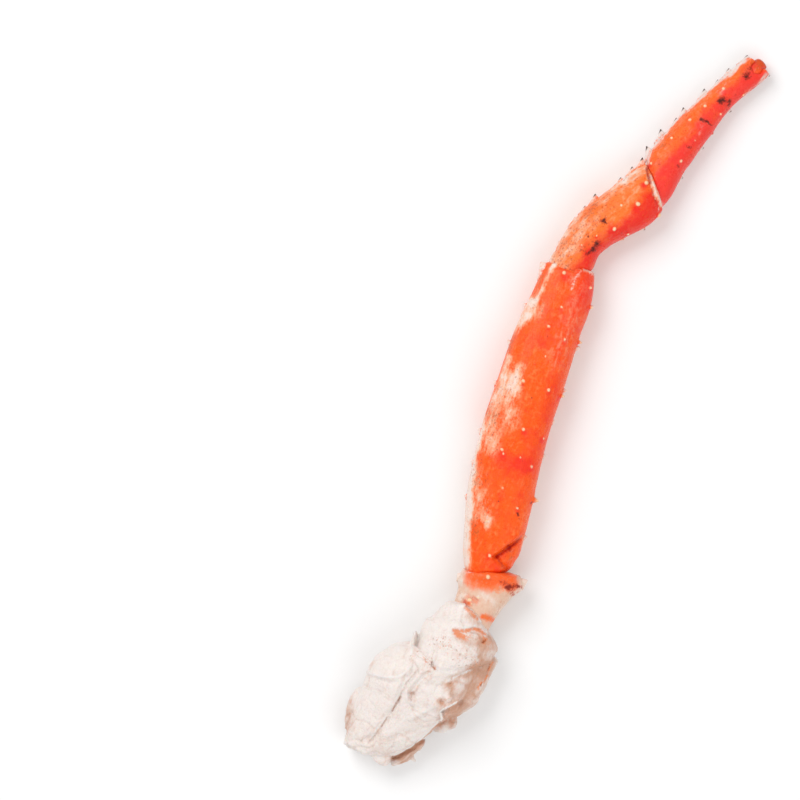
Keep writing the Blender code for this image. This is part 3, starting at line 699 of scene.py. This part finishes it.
propodusLook = {  # the slender outer segment
    "size": (98, 23.5, 21.5),
    "half": "0,0.38 0.08,0.45 0.17,0.5 0.28,0.5 0.4,0.455 0.5,0.43 0.62,0.385 0.74,0.345 0.86,0.36 0.95,0.365 1,0.33",
    "bow": "0,0 0.08,1.4 0.17,4.6 0.28,6.2 0.4,6.2 0.6,6.2 0.74,5.2 0.86,3.4 1,0.8",
    "crown": "0,0.95 0.15,1 0.3,0.99 0.5,0.9 0.75,0.77 0.9,0.74 1,0.7",
    "belly": "0,0.14 0.12,0.05 0.25,-0.03 0.9,-0.03 1,0.04",
    "skew": "0,0.3 0.2,0 1,0",
    "domes": (6, 1.5), "squareness": (2.2, 2.4), "sides": 150, "rings": 196, "domeRings": 8,
    "forms": [
        ("3.9,6 2.2,0.3 -1.4,-8", 0.9, 1.3), ("20,17 45,16 70,13 90,9", -0.5, 2), ("47,8 52,9", -0.5, 1.5),
        ("86,4 90,1", -0.4, 2), ("96.5,0.8 102,0.8", -5.5, 3.4), ("98.5,7 94.5,4.6 92.6,1 94,-3 98,-5.6", 0.7, 0.8),
    ],
    "knobs": "47.3,11.2,1.2 59.2,9.6 32.3,12.5,1.1 13.7,12.1,0.9 25.5,0.2,1.1 74,7.9,1.1 61.7,0.1,0.9 50.8,-3.9 "
        "79.3,-2.9 40,1.5,0.6 52.7,2.1,0.55",
    "spines": [
        (5, "98.5,1.7 86,1.6 77,1.2 67.6,2.7 51.4,3.1 44,1.5 33,3.5 21,3.6", 1.1, 8),
        (178, "20,1.2 41,1.3 51,1 68,1.5 98.5,1.2", 1.1, 4), (214, "34,1.4 68,1.4", 1.3, 2.2),
        (330, "34,1.4 68,1.4", 1.3, 2.2),
    ],
    "paleSpines": 1.1,
}
propodusPaint = {
    "pale": [
        ("5,11 10,12.4 20,16.2 40,16.6 56,15.6 66,13.6 82,10.6 97,7.2", 1, 1.15, "fill"),
        ("98,-5.8 90,-5.2 75,-3.3 60,-3.5 48,-5.4 31,-6.4 20,-8 6,-9.4", 1.1, 0.65, "fill"),
        ("4.2,7 2.6,1.5 0.6,-4 -1.8,-9", 1.3, 1), ("8,13 12,14", 2, 0.6), ("71,9 75,8.6", 1.8, 0.4),
        ("45,2 52,5", 1.4, 0.25),
    ],
    "blushAndShade": [("98,3 84,5 70,7.5 60,8.5 50,8 39.5,6.6 29.4,6.2 17.4,7.4 5.9,6 -6,5", 5, 1, "fill")],
    "rust": [("20,14.5 34,14.5", 1.6, 0.55), ("88,6 96,5", 2, 0.5)],
    "speck": [("10,10 36,10", 5, 0.55), ("50,11 95,5", 4, 0.4)],
    "burn": [
        ("68.2,4.2", 2.4, 1.15), ("65.4,6.3 66.6,5.4", 0.9, 0.7), ("71,0.6 68.6,-0.6", 1.3, 0.75),
        ("66.4,-1.6", 1, 0.6), ("51.6,6.3 52.7,3.6", 1.1, 0.95), ("53,2 53.3,-0.6", 0.8, 0.8),
        ("88.3,2.3", 2.4, 0.9), ("93.8,3.9", 1.8, 0.7), ("22.3,-0.6", 1, 0.9), ("35.2,0.6 34.4,2.8", 0.9, 0.5),
        ("32,-2.5", 0.9, 0.4), ("49.4,-3.4", 1, 0.55), ("18.1,11.2", 0.8, 0.5), ("75.7,0.5", 0.7, 0.6),
        ("15.5,8.8", 0.8, 0.45),
    ],
    # painted shade in the groove by the condyle
    "creaseShade": [("9.6,12.4 7,9 5.4,6.6", 1, 1)],
}


stubLook = {  # what is left of the claw tip
    "size": (11, 11, 9.5),
    "half": "0,0.42 0.3,0.48 0.6,0.5 0.85,0.44 1,0.36",
    "bow": "0,0 1,0",
    "crown": "0,1.3 0.3,1.48 0.6,1.46 1,1.2",
    "belly": "0,0.28 0.5,0.24 1,0.3",
    "skew": "0,0 1,0",
    "domes": (3, 2), "squareness": (2.1, 2.1), "sides": 72, "rings": 30, "domeRings": 7,
    "forms": [("5,1 9,2", -0.7, 1.2), ("8,-2 11,-2", 0.4, 1)],
}
stubPaint = {
    "blushAndShade": [("4,0 12,-1", 5.5, 0.6), ("2,3 7,4", 2.6, 0.6), ("10,-4 12.5,0", 3, 0.6)],
    "rust": [("12,3 13,-2", 2.6, 0.9), ("5,0 9,-1", 3, 0.7)],
    "speck": [("5,0", 5, 0.4)],
    "burn": [("6.6,4.6", 0.8, 1.2), ("13,4 13.6,0 12.6,-4", 0.8, 0.6), ("2.6,2 4,4", 1, 0.6)],
    # painted shade along the right edge
    "creaseShade": [("10,4 12.6,1 12.4,-3", 0.9, 0.3)],
    # a small painted highlight dot
    "rimHighlightAndPaleSpine": [("7.6,-0.4", 0.4, 0.4)],
}


ischiumFold = "9.8,8.4 6.7,6.2 4.5,1.9 1.8,-1.8"
ischiumLook = {  # the short segment
    "size": (30, 33, 30),
    "half": "0,0.37 0.24,0.39 0.5,0.442 0.7,0.52 0.82,0.56 0.92,0.525 1,0.49",
    "bow": "0,0 0.24,-0.6 0.5,-1.4 0.7,-1.6 0.82,-3.3 0.92,-2.8 1,-2",
    "crown": "0,1 0.5,1 0.8,1.02 0.93,1.04 1,1.01",
    "belly": "0,0.2 0.5,0.16 1,0.08",
    "skew": "0,0.3 0.5,0 1,-0.25",
    "domes": (5, 1.5), "squareness": (2.3, 2.4), "sides": 190, "rings": 64, "domeRings": 8,
    "forms": [
        (ischiumFold, -1.2, 1), ("13.4,7.4 12.8,3 12.2,-0.4", -0.8, 0.9),
        ("5.4,-5.1 4.9,-9 6.5,-12.6", -0.9, 1.4), ("11,8 9.8,3.3", 0.9, 1.1), ("14.1,3.5", 0.8, 1),
        ("20,13 24,6 29,-1 30,-8 33,-15", 0.8, 1.7), ("21,-12 25,-17", 0.9, 3.2),
        ("24,-10 27.5,-15.5 26,-20", -0.8, 1.3),
    ],
    "knobs": "27.6,0.1,1.7 11.2,4.7,1.1 14.4,0.9,0.7 9.6,3,0.6",
    "spines": [(10, "24.4,1.8", 2.6, 3), (177, "28.4,3.8", 3.2, 4)],
    "darkTips": 0, "paleSpines": 0.9,
}
ischiumPaint = {
    "pale": [
        ("8,12.4 17,12.6 23,14.4 31,13", 2, 0.9, "fill"), ("34,-19 22,-17 8,-12", 1.5, 0.6, "fill"),
        ("16,8 10,10", 2.4, 0.5), ("16.8,-1.5 14.3,-11.8", 3.4, 0.5),
    ],
    "blushAndShade": [
        ("24,9.5 26,3 28,-4 31,-10", 4.8, 1.1), ("19,6 22,-4", 3, 0.4), ("5.3,-6 5,-12.5", 2, 0.9),
        ("12.6,6.6 12,1.6", 1.6, 0.5), ("32,6 33,-3 34,-13", 3, 0.9), ("26,-11 29,-17", 3.4, 0.55),
    ],
    "rust": [
        ("24,-10 27,-17", 4, 0.5), ("20,9 20.5,1 23,-7", 2.2, 0.5), ("11,8 8.4,4", 1.2, 0.6),
        ("6,-6 5,-10", 2.4, 0.7),
    ],
    "speck": [("25,-12 26,-18", 4.4, 0.9), ("12,5", 6, 0.4)],
    "burn": [
        ("28.1,-8.6 26.7,-12.4", 1.9, 0.85), ("26.6,-13.4 28.8,-17.4", 1.6, 0.75), ("24.4,-16 22.8,-18.3", 1.5, 0.7),
        ("28.8,-18.4 29.4,-21.6", 1.1, 0.8), ("25.6,-19.6", 0.9, 0.6),
    ],
    "creaseShade": [
        # painted shade in the folds
        (ischiumFold, 1, 0.6), ("9.8,7.4 7.6,4.2", 0.9, 0.4), ("14,3.4 12.6,0.6", 0.8, 0.5),
    ],
    "rimHighlightAndPaleSpine": [
        # painted highlights along the rim and on the knob ridge
        ("30.2,4 31.2,0.6 32.8,-3.2", 0.8, 0.8), ("24.4,13.6 27.4,8.4", 0.8, 0.5), ("11.4,4.9", 1, 0.9),
        ("14.6,1", 1, 0.8),
    ],
}


knuckleRidge = "25.6,-1.5 22.4,-9.7 18.7,-12.9"
coxaLook = {  # the knuckle
    "size": (44, 47, 40),
    "half": "0,0.22 0.12,0.3 0.25,0.36 0.4,0.43 0.62,0.48 0.8,0.45 0.92,0.36 1,0.28",
    "bow": "0,10 0.12,8.5 0.25,7 0.4,4 0.62,1.4 0.8,0.6 1,4",
    "crown": "0,0.86 0.2,0.96 0.45,1 0.7,0.96 0.86,0.88 1,0.84",
    "belly": "0,0.06 0.3,0 0.7,0 1,0.09",
    "skew": "0,-0.25 0.35,0 0.6,0.1 1,0.4",
    "domes": (5, 2), "squareness": (2.3, 2.5), "sides": 230, "rings": 88, "domeRings": 9,
    "forms": [
        ("8.7,21 7.4,15 5.6,8.6", -1, 1.2), ("30,7 31.7,2 34.9,-2.5 36.1,-6.2 35.6,-9.8", -1.3, 1.1),
        ("28.4,6 28,0", -0.7, 2), ("34,6 37,-1 38.4,-8", 0.7, 1.6), (knuckleRidge, 1.1, 3),
        ("20,8 18,-3", 0.6, 4), ("31,-10 28,-9.6", -0.9, 1.2), ("12.8,-11 18.9,-13.5 20,-20", -1, 1.6),
        ("30,22 36.5,18 41.4,13", 0.7, 1.3), ("22,15 17,12", 0.5, 2.2),
    ],
    "crumpled": True, "trim": (7, 0.75),
}
coxaPaint = {
    "blushAndShade": [
        # painted shade on the coxa's side away from the light and in its grooves
        ("31.5,-5.5 30,-9.5 31.5,-12.5", 3.8, 0.55), ("27,-12 20,-17", 5, 0.62), ("36,-16 30,-20", 4, 0.72),
        ("14,-14 16,-19", 3.4, 0.75), ("27.4,3 26,-4", 2.6, 0.5), ("40,3 38,-6", 3, 0.4),
    ],
    "rust": [
        ("29.6,5.8 28.2,2.9 28.6,0.6", 1.8, 0.85), ("31.7,2 34.9,-2.5 36.1,-6.2 35.6,-9.8", 1.1, 1),
        ("30,4 30.5,-2 33,-7", 3.4, 0.32), ("33.4,-11.6 31,-11", 1.6, 0.8),
        ("34,-20 31.5,-21.8 28.6,-22.6", 1.6, 1.1), ("38,-12 36,-14", 1.6, 0.5),
        ("44.4,5.5 42.5,2 40.6,-1.8", 1.5, 0.8), ("32,-13.5 30,-15.5", 2.2, 0.35),
    ],
    "speck": [("20,10 20,-2 16,-8", 5.5, 0.9), ("18,16 20,12", 3.4, 0.9), ("13,-13 19,-13", 3.6, 0.9)],
    "burn": [("30.5,-10.8 31.4,-11.4", 1, 0.75), ("29.4,-22.4", 0.9, 0.6), ("18.4,-13.1", 0.7, 0.5)],
    # painted shade in the groove
    "creaseShade": [("8,21.4 8.2,17.2 6.9,13.3", 0.7, 0.25), ("6.6,12 5.6,9.3 5.2,7.4", 0.7, 0.55)],
    # painted highlights along the knuckle ridge
    "rimHighlightAndPaleSpine": [(knuckleRidge, 1, 0.5), ("33.4,3.5 37,-3 38,-8", 0.8, 0.6)],
}


seamPath = "58,13.7 49.6,12.6 42.7,12.6 34.5,9.3 21.6,8.3 8,8.1"
plateEdge = "57.5,11.4 48.6,12.2 41.4,11 36,9 26,8.6 16,8 8,7.6"
nearRib = "37.8,32.9 42.1,24.5 49.2,17.2 56.5,15.9"
farRib = "46.9,-8.9 38.5,-5.5 32.3,-2.4"
shoulderLook = {  # the white body chamber
    "size": (80, 60, 41),
    "half": "0,0.17 0.07,0.26 0.15,0.3 0.25,0.35 0.38,0.4 0.5,0.44 0.62,0.49 0.73,0.49 0.83,0.43 0.92,0.35 1,0.28",
    "bow": "0,9 0.07,6 0.15,6.4 0.38,6.6 0.5,7.4 0.62,4.4 0.73,1.2 0.83,-1.8 1,-8",
    "crown": "0,0.56 0.1,0.66 0.3,0.8 0.5,0.92 0.68,1 0.84,0.94 0.93,0.82 1,0.7",
    "belly": "0,0.03 0.1,-0.02 0.85,-0.02 1,0.03",
    "skew": "0,-0.25 0.3,0 0.8,0 1,-0.45",
    "domes": (3, 5), "squareness": (2.7, 3.2), "sides": 240, "rings": 150, "domeRings": 9,
    "paintedAbove": (0.02, 0.12), "plateTilt": 0.1, "grain": 0.7, "grainPitch": 13, "ragged": 2.6, "voxel": 0.55,
    "seam": seamPath,
    "forms": [
        (seamPath, -1.6, 2.2), ("54,-12.5 50,-10.5", 1.8, 4),
        ("52,-21 60,-22 70,-21 78,-19", -6, 6.5), ("4,-16 12,-17 22,-21 34,-24 44,-24", -9, 4),
    ],
    "fineForms": [
        ("57.5,11.4 48.6,11.2 41,10.8 34,8 26,7.6 16,7.4 6,7.6", -1, 0.75),
        ("63,5.8 57.1,9 49.1,10 43.3,8.8 39.8,5.4 40.1,1.8", 1.3, 1.3), ("58.5,4.6 51,5", -0.7, 1.8),
        ("44.4,5.4 42.4,4.8", -1.7, 1.25), ("49,-9.4 52,-11.5", -0.8, 1.2), ("55.5,-13 49.5,-15 44,-17", 1, 1.3),
        ("66,6.5 64.4,3.6 67,-2 73,-9", -1.5, 1.1), ("39.5,33 41,26 46.9,16.8", 0.5, 1.5),
        ("36,-18.5 28.6,-17.6 21,-15.8 14,-12.6", 0.6, 1.2), ("10.8,-11.2 14.4,-12.6 19,-14.2", -1.4, 0.8),
        ("30,20 18,15", -0.5, 5), ("30,-6 18,-3", -0.4, 4), (nearRib, 0.8, 1.2),
        ("39.3,26 42.3,19 50.2,14.6", -0.6, 1.2), (farRib, 0.8, 1.4),
        ("40,-6.2 41.8,-13.7", 0.6, 1.4), ("9.5,9.7 4.3,11.5 1.1,17", -0.8, 1.4),
        ("76.1,-14.1 71.4,-15.7 59,-17.2", 0.5, 2),
    ],
    "edges": [
        (plateEdge, 0.8, -0.6, 2.2),
        ("7.4,-9.4 17.4,-13.6 25.9,-15.9 36.3,-17 43.9,-17.9 46.1,-14.3 52.2,-16.6 56.1,-18.5", 1.4, -3.4, 2.8),
        ("55.5,-19 57.5,-12.6 59.5,-9 63.3,-6.2 69.6,-9.3 76.1,-14.1", 0.3, -0.5, 4),
        ("63.4,2.7 58.3,5.6 51.8,6.5 45.1,6.4 41.3,5.3 39.2,2.9", 0.35, -0.5, 2),
    ],
    "relax": (0.5, 4), "lobeShape": (40, 28),
    # smaller lobes and flakes: (centre, radii), turn and tilt in degrees
    "lobes": [
        ((41, -18.6, 8.6), (8.2, 8.6, 8.6), 0, 0), ((14, -13.6, 8.6), (11.5, 4.4, 8.6), -14, 0),
        ((15, 26, 7), (13.5, 4, 7), 22, 0), ((68, 22.5, 25), (6.5, 1.4, 7), 23, 0),
        ((69, 19.5, 18), (5.5, 3.2, 9.5), 23, 0), ((9, -15.4, 8.5), (5.5, 1.3, 4), -40, 10),
        ((16, -17.4, 10), (5, 1.2, 3.6), -8, -8), ((22, -18.6, 9), (4.6, 1.3, 3.4), 12, 0),
        ((13, -17.4, 9.6), (1.4, 4.4, 3), -12, 0), ((18.5, -16.6, 10.6), (1.3, 3.4, 2.6), 16, 0),
        ((53.5, -16, 32.5), (5.8, 2.2, 3.2), -20, 0), ((47, -16.5, 30), (6, 2.4, 4), 14, 0),
        ((3, 14, 18), (4.5, 7.5, 3.2), 12, 0), ((4, -2, 17), (5, 8, 3), -10, 0),
    ],
}
shoulderPaint = {
    "blushAndShade": [
        # mostly painted shade: under the plate edges, along fold bottoms and on the walls of the side away from the
        # light
        ("56,-21 68,-21 78,-19", 7.5, 0.8), ("62,-9 66,-9 75,-13", 3.4, 0.5), ("60,-8 58,-13", 2.6, 0.5),
        ("44,-24 48,-19.5 42,-19", 5, 0.9), ("51.9,-9 48.4,-10", 2.6, 0.6), ("60,5 52,6.4 46,6.6", 1.8, 0.4),
        ("9,29.7 16.8,29.8 9,25.9 3,23", 3, 0.6), ("6,-9.6 17,-14.4 26,-16.8 37,-18.2", 1.5, 0.9),
        ("8,-15 22,-18.4", 3.6, 0.65), ("10,0 3,-6", 8, 0.16), ("12,18 4,12", 8, 0.14),
    ],
    "rust": [("64.2,4.8 63.6,2.6", 1.2, 0.7), ("85,-21 78.1,-23 69.1,-24", 1, 0.9), ("64,9 64.4,13", 1, 0.35)],
    "speck": [
        ("50,-10 54,-12", 3.2, 0.9), ("62,-13 57,-13", 3, 0.6), ("5,11.4", 2.6, 0.7), ("66,10 63,18", 2.6, 0.9),
    ],
    "burn": [("84,-20.6 79,-22.6", 0.8, 0.55), ("70,-23.8 74,-23.6", 0.7, 0.45)],
    "creaseShade": [
        # painted shadow lines along plate edges, seams and pits
        (plateEdge, 0.7, 0.42), ("38.8,9.8 30,8.8", 0.8, 0.4),
        ("44.4,6.6 41.6,4.2", 1.3, 0.45), ("24,8.8 18,8.2", 0.6, 0.3),
        ("24.7,-14.6 19.2,-13.2 13.3,-11.4 6.9,-9", 0.8, 0.8), ("44.4,-18.6 36.3,-17.8 25.9,-16.6", 0.7, 0.4),
        ("65,6 64.2,4.6", 0.7, 0.3), ("52,-9.4 50,-10.4", 1.2, 0.4), ("72.6,10.8 68,9 65,7", 0.6, 0.4),
        ("38,31 41.6,23.4 48.6,16.2 56,14.6", 0.7, 0.16), ("62,1 51.8,5 44,5", 0.8, 0.22),
        ("46,-10 38.5,-6.8 32.3,-3.6", 0.8, 0.16), ("57,-17 58.6,-12 62.6,-8", 0.9, 0.28),
        ("9.5,10.6 5,12.2 2,17", 0.8, 0.25), ("75,-15.4 67,-11 62,-7.6", 0.9, 0.22),
    ],
    "rimHighlightAndPaleSpine": [
        # painted highlight lines along plate edges and ribs
        (nearRib, 0.7, 0.8), ("63.5,2.7 58.3,5.9 51.8,6.9 41.3,6.6", 0.7, 0.8),
        ("50,13.6 41.6,12.2 31.6,10 16.5,9.4 8.2,8.9", 0.6, 0.7), (farRib, 0.8, 0.5),
        ("7.4,-8.6 17.4,-12.7 25.9,-15 36.3,-16 43,-16.8 46,-13.4 55.8,-17.4", 0.8, 0.9),
        ("63.3,-6.2 69.6,-9.3 76.1,-14.1", 0.8, 0.7), ("73.8,25.1 68.2,22.3 62,20.1", 0.8, 0.8),
    ],
}


def crumple(skin):  # the soft dents and thin wrinkles of the white shell, with painted shade along the wrinkle lines
    leg = toLeg(skin.name, skin.local)
    wrinkle = hump(fractal(leg, 15.0, 95, 2), 0.06) + 0.7 * hump(fractal(leg, 8.0, 97, 2), 0.07)
    skin.push(0.5 * fractal(leg, 8.0, 91) + 0.12 * fractal(leg, 1.8, 93) - 0.45 * wrinkle)
    # painted shade along the wrinkle lines
    skin.add("blushAndShade", 0.18 * wrinkle)


shellWaves = ((0.16, 9.0, 0), (0.05, 1.6, 4))  # rise, pitch and what is added to the seed


def buildLimb(name, look, seed):
    skin = Skin(name, look)
    spines = spinesOf(look, seed)
    counts = [(look["sides"], look["rings"] + 2 * look["domeRings"])]
    mesh, (shell, *pieces) = sphereMesh(name, counts + [(spineShape["sides"], spineShape["rings"])] * len(spines))
    skin.wear(mesh, shell, pieces, spines)
    skin.local = wrapShell(look, skin.unit[shell])[1]
    corner, share = look.get("trim", (0, 0))
    skin.local[:, 0] -= share * np.maximum(skin.local[:, 1] - corner, 0) * ease(26, 44, skin.local[:, 0])
    pressForms(skin, look["forms"])
    skin.refresh()
    skin.push(sum(rise * fractal(skin.local, pitch, seed + shift) for rise, pitch, shift in shellWaves))
    if look.get("crumpled"):
        crumple(skin)
    skin.settle()
    print("shaped", name)
    return skin


def paintUnderside(skin, share=0.42, strength=0.9):  # the lower side is paler, as on a real leg
    lower = 1 - upperSide(skin, share - 0.16, share)
    blotch = 0.75 + 0.5 * fractal(skin.local, 14.0, 21)
    skin.add("pale", strength * lower * blotch)
    skin.add("speck", 0.45 * lower * (0.6 + fractal(skin.local, 9.0, 33)))


wanders = {"burn": (0.5, 2.4), "creaseShade": (0.5, 3.0), "rimHighlightAndPaleSpine": (0.4, 3.0)}  # how far and how finely strokes wander


def paintLimb(skin, frameName, strokes, seed):
    for mask, rows in strokes.items():
        wander, pitch = wanders.get(mask, (1.8, 6.0))
        paint(skin, frameName, mask, rows, wander, pitch, seed)


segments = {
    "coxa": (coxaLook, coxaPaint, "pale_shell", paleColours, paleGloss),
    "ischium": (ischiumLook, ischiumPaint, "mottled_shell", mottledColours, wetGloss),
    "merus": (merusLook, merusPaint, "red_shell", redColours, wetGloss),
    "carpus": (carpusLook, carpusPaint, "red_shell", carpusColours, wetGloss),
    "propodus": (propodusLook, propodusPaint, "red_shell", propodusColours, wetGloss),
    "dactyl_stub": (stubLook, stubPaint, "red_shell", propodusColours, wetGloss),
}
skins = {name: buildLimb(name, row[0], 40 + index) for index, (name, row) in enumerate(segments.items())}


def lobePoints(unit, centre, radii, turn, tilt, seed):
    local = unit * np.array(radii)
    rough = 0.16 if radii[1] > 1.5 else 0.34  # thin flakes are ragged
    local *= (1 + rough * fractal(unit * 4.0, 2.6, seed))[:, None]
    c, s = math.cos(math.radians(tilt)), math.sin(math.radians(tilt))
    local = local @ np.array([[1, 0, 0], [0, c, -s], [0, s, c]]).T
    return local @ turned(turn).T + np.array(centre)


def buildShoulder(look):
    skin = Skin("shoulder", look)
    counts = [(look["sides"], look["rings"] + 2 * look["domeRings"])] + [look["lobeShape"]] * len(look["lobes"])
    mesh, (shell, *pieces) = sphereMesh("shoulder", counts)
    points = pointsOf(mesh)
    share, skin.local = wrapShell(look, points[shell])
    seam = np.array(readSpots(look["seam"])[::-1])
    off = skin.local[:, 1] - np.interp(skin.local[:, 0], seam[:, 0], seam[:, 1])
    tilt = look["plateTilt"] * np.abs(off) * np.clip((0.9 - share) / 0.2, 0, 1)
    skin.local[:, 2] -= upperSide(skin) * tilt
    for axis in range(3):
        skin.local[:, axis] += look["grain"] * grain(skin.local, look["grainPitch"], 60 + axis)
    tooth = fractal(skin.local * np.array([0.2, 1, 0.8]), 4.5, 71)
    skin.local[:, 0] += tooth * look["ragged"] * np.clip(1 - share / 0.1, 0, 1)
    pressForms(skin, look["forms"])
    points[shell] = skin.local
    for index, (piece, lobe) in enumerate(zip(pieces, look["lobes"])):
        points[piece] = lobePoints(points[piece], *lobe, 80 + index)
    points[:, 2] = np.maximum(points[:, 2], 0.0)
    setPoints(mesh, points * mm)
    rough = stand("shoulderRough", mesh)
    remesh = rough.modifiers.new("onePiece", "REMESH")
    remesh.mode, remesh.voxel_size = "VOXEL", look["voxel"] * mm
    relax = rough.modifiers.new("relax", "SMOOTH")
    relax.factor, relax.iterations = look["relax"]
    graph = bpy.context.evaluated_depsgraph_get()
    mesh = bpy.data.meshes.new_from_object(rough.evaluated_get(graph))
    bpy.data.objects.remove(rough)
    mesh.name = "shoulder"
    skin.wear(mesh, slice(0, len(mesh.vertices)), [], [])
    skin.local = pointsOf(mesh) / mm
    pressForms(skin, look["fineForms"])
    pressEdges(skin, look["edges"])
    skin.refresh()
    crumple(skin)
    skin.settle()
    print("shaped shoulder")
    return skin


skins["shoulder"] = buildShoulder(shoulderLook)
segments["shoulder"] = (shoulderLook, shoulderPaint, "pale_shell", paleColours, paleGloss)


# each base sits in its neighbour; a joint shows a narrow gap on the left of a line across the outer segment, and
# on its right the two crowns melt into each other within a reach; each joint's crease number sets the painted shade
# along its gap
joints = [
    ("shoulder", "coxa", {"lip": 0.2, "gap": 0.55, "creaseShade": 0.15, "melt": 16.0, "left": 6.0}),
    ("coxa", "ischium", {"lip": 0.0, "gap": 0.35, "creaseShade": 0.25, "melt": 3.0, "left": 6.0}),
    ("ischium", "merus", {"lip": 0.5, "gap": 0.7, "creaseShade": 0.4, "melt": 0, "left": -99}),
    ("merus", "carpus", {"lip": 0.2, "gap": 0.6, "creaseShade": 0.35, "melt": 2.0, "left": -99}),
    ("carpus", "propodus", {"lip": 0.4, "gap": 0.7, "creaseShade": 0.4, "melt": 0, "left": -99}),
    ("propodus", "dactyl_stub", {"lip": 0.1, "gap": 0.4, "creaseShade": 0.3, "melt": 0, "left": -99}),
]
trees = {name: treeOf(skin) for name, skin in skins.items()}


def crownAbove(skin, name):  # the height of the other segment's crown over each point, where there is one
    points = toLeg(skin.name, skin.local)
    other = toLeg(name, skins[name].local)
    near = np.all((points > other.min(axis=0) - 1)[:, :2] & (points < other.max(axis=0) + 1)[:, :2], axis=1)
    found = np.full(len(points), -99.0)
    for i in np.nonzero(near & (upperSide(skin, 0.2, 0.45) > 0))[0]:
        spot = trees[name].ray_cast(Vector((points[i][0], points[i][1], 90.0)), Vector((0, 0, -1)))[0]
        if spot is not None:
            found[i] = spot.z
    return found


def meltJoint(outer, inner, joint):  # both crowns take one smooth surface, the lower one just beneath the other
    reach = joint["melt"]
    risen = {}
    for here, there in ((outer, inner), (inner, outer)):
        skin = skins[here]
        mine, theirs = skin.local[:, 2], crownAbove(skin, there)
        off = np.abs(mine - theirs)
        over = np.maximum(mine, theirs) + np.maximum(reach - off, 0) ** 2 / (4 * reach)
        under = over - off * (0.05 + 0.95 * ease(0.35 * reach, reach, off))
        across = toSegment(outer, toLeg(here, skin.local))[:, 1]
        closed = ease(joint["left"] + 2, joint["left"] - 4, across) * upperSide(skin, 0.3, 0.5) * (theirs > -99)
        risen[here] = closed * (np.where(mine >= theirs, over, under) - mine)
    for here, rise in risen.items():
        skins[here].local[:, 2] += rise


def workJoint(skin, name, joint, outer):
    away = clearance(skin, name)
    across = toSegment(outer, toLeg(skin.name, skin.local))[:, 1]
    opened = ease(joint["left"] - 4, joint["left"] + 2, across)
    lift = -(1.0 if skin.name == outer else 0.5) * joint["gap"] * ease(0.9, 0.0, np.abs(away)) * opened
    if skin.name == outer:
        lift = lift + joint["lip"] * hump(away - 1.5, 1.0) * opened
    skin.push(lift)
    # painted shade along the gap of the joint
    skin.add("creaseShade", joint["creaseShade"] * hump(away, 0.6) * opened)


for outer, inner, joint in joints:
    workJoint(skins[outer], inner, joint, outer)
    workJoint(skins[inner], outer, joint, outer)
    if joint["melt"]:
        meltJoint(outer, inner, joint)
    print("joined", outer, "and", inner)

paintedBy = {"coxa": ("coxa", "shoulder"), "shoulder": ("coxa", "shoulder")}  # their marks run across the joint
for index, (name, (look, strokes, slot, colours, gloss)) in enumerate(segments.items()):
    skin = skins[name]
    skin.refresh()
    raiseKnobs(skin, readSpots(look.get("knobs", "")), seed=index)
    skin.settle()
    growSpines(skin)
    for frameName in paintedBy.get(name, (name,)):
        paintLimb(skin, frameName, segments[frameName][1], 100 + 7 * list(segments).index(frameName))
    if slot == "red_shell":
        paintUnderside(skin)
    finishPiece(skin, shellFinish(name + "Finish", name, colours, gloss))


studio = {  # a white floor, soft light and a camera straight above
    "floor": 6.0, "floorColour": (0.93, 0.93, 0.93), "worldColour": (1.0, 1.0, 1.0), "world": 0.66,
    "turn": -65.0, "centre": (-0.03605, 0.07818), "level": 0.015, "viewWidth": 0.464, "lens": 135.0,
    "lights": [  # (place, size, power)
        ((0.32, 0.82, 1.1), 0.8, 9.0),
        ((-0.5, -0.8, 1.0), 1.2, 5.0),
    ],
}
bm = bmesh.new()
bmesh.ops.create_grid(bm, x_segments=1, y_segments=1, size=studio["floor"] / 2)
bmesh.ops.translate(bm, verts=bm.verts, vec=(0, 0, -0.0003))
floorMesh = bpy.data.meshes.new("floor")
bm.to_mesh(floorMesh)
bm.free()
floor = stand("floor", floorMesh)
floorBoard = Board("floorFinish")
floorBoard.surface({"Base Color": (*studio["floorColour"], 1), "Roughness": 0.8})
floorMesh.materials.append(floorBoard.material)

world = bpy.data.worlds.new("studio")
world.use_nodes = True
sky = world.node_tree.nodes["Background"].inputs
sky["Color"].default_value, sky["Strength"].default_value = (*studio["worldColour"], 1), studio["world"]
bpy.context.scene.world = world
for place, size, power in studio["lights"]:
    lamp = bpy.data.lights.new("softLight", "AREA")
    lamp.shape, lamp.size, lamp.energy = "SQUARE", size, power
    light = stand("softLight", lamp)
    light.location = place
    light.rotation_euler = (Vector((0, 0, 0)) - Vector(place)).to_track_quat("-Z", "Y").to_euler()
camera = stand("camera", bpy.data.cameras.new("camera"))
camera.data.lens = studio["lens"]
distance = studio["lens"] / camera.data.sensor_width * studio["viewWidth"]
camera.location = (*studio["centre"], studio["level"] + distance)
camera.rotation_euler = (0, 0, math.radians(studio["turn"]))
bpy.context.scene.camera = camera
bpy.context.scene.view_settings.view_transform = "Standard"
print("studio ready")
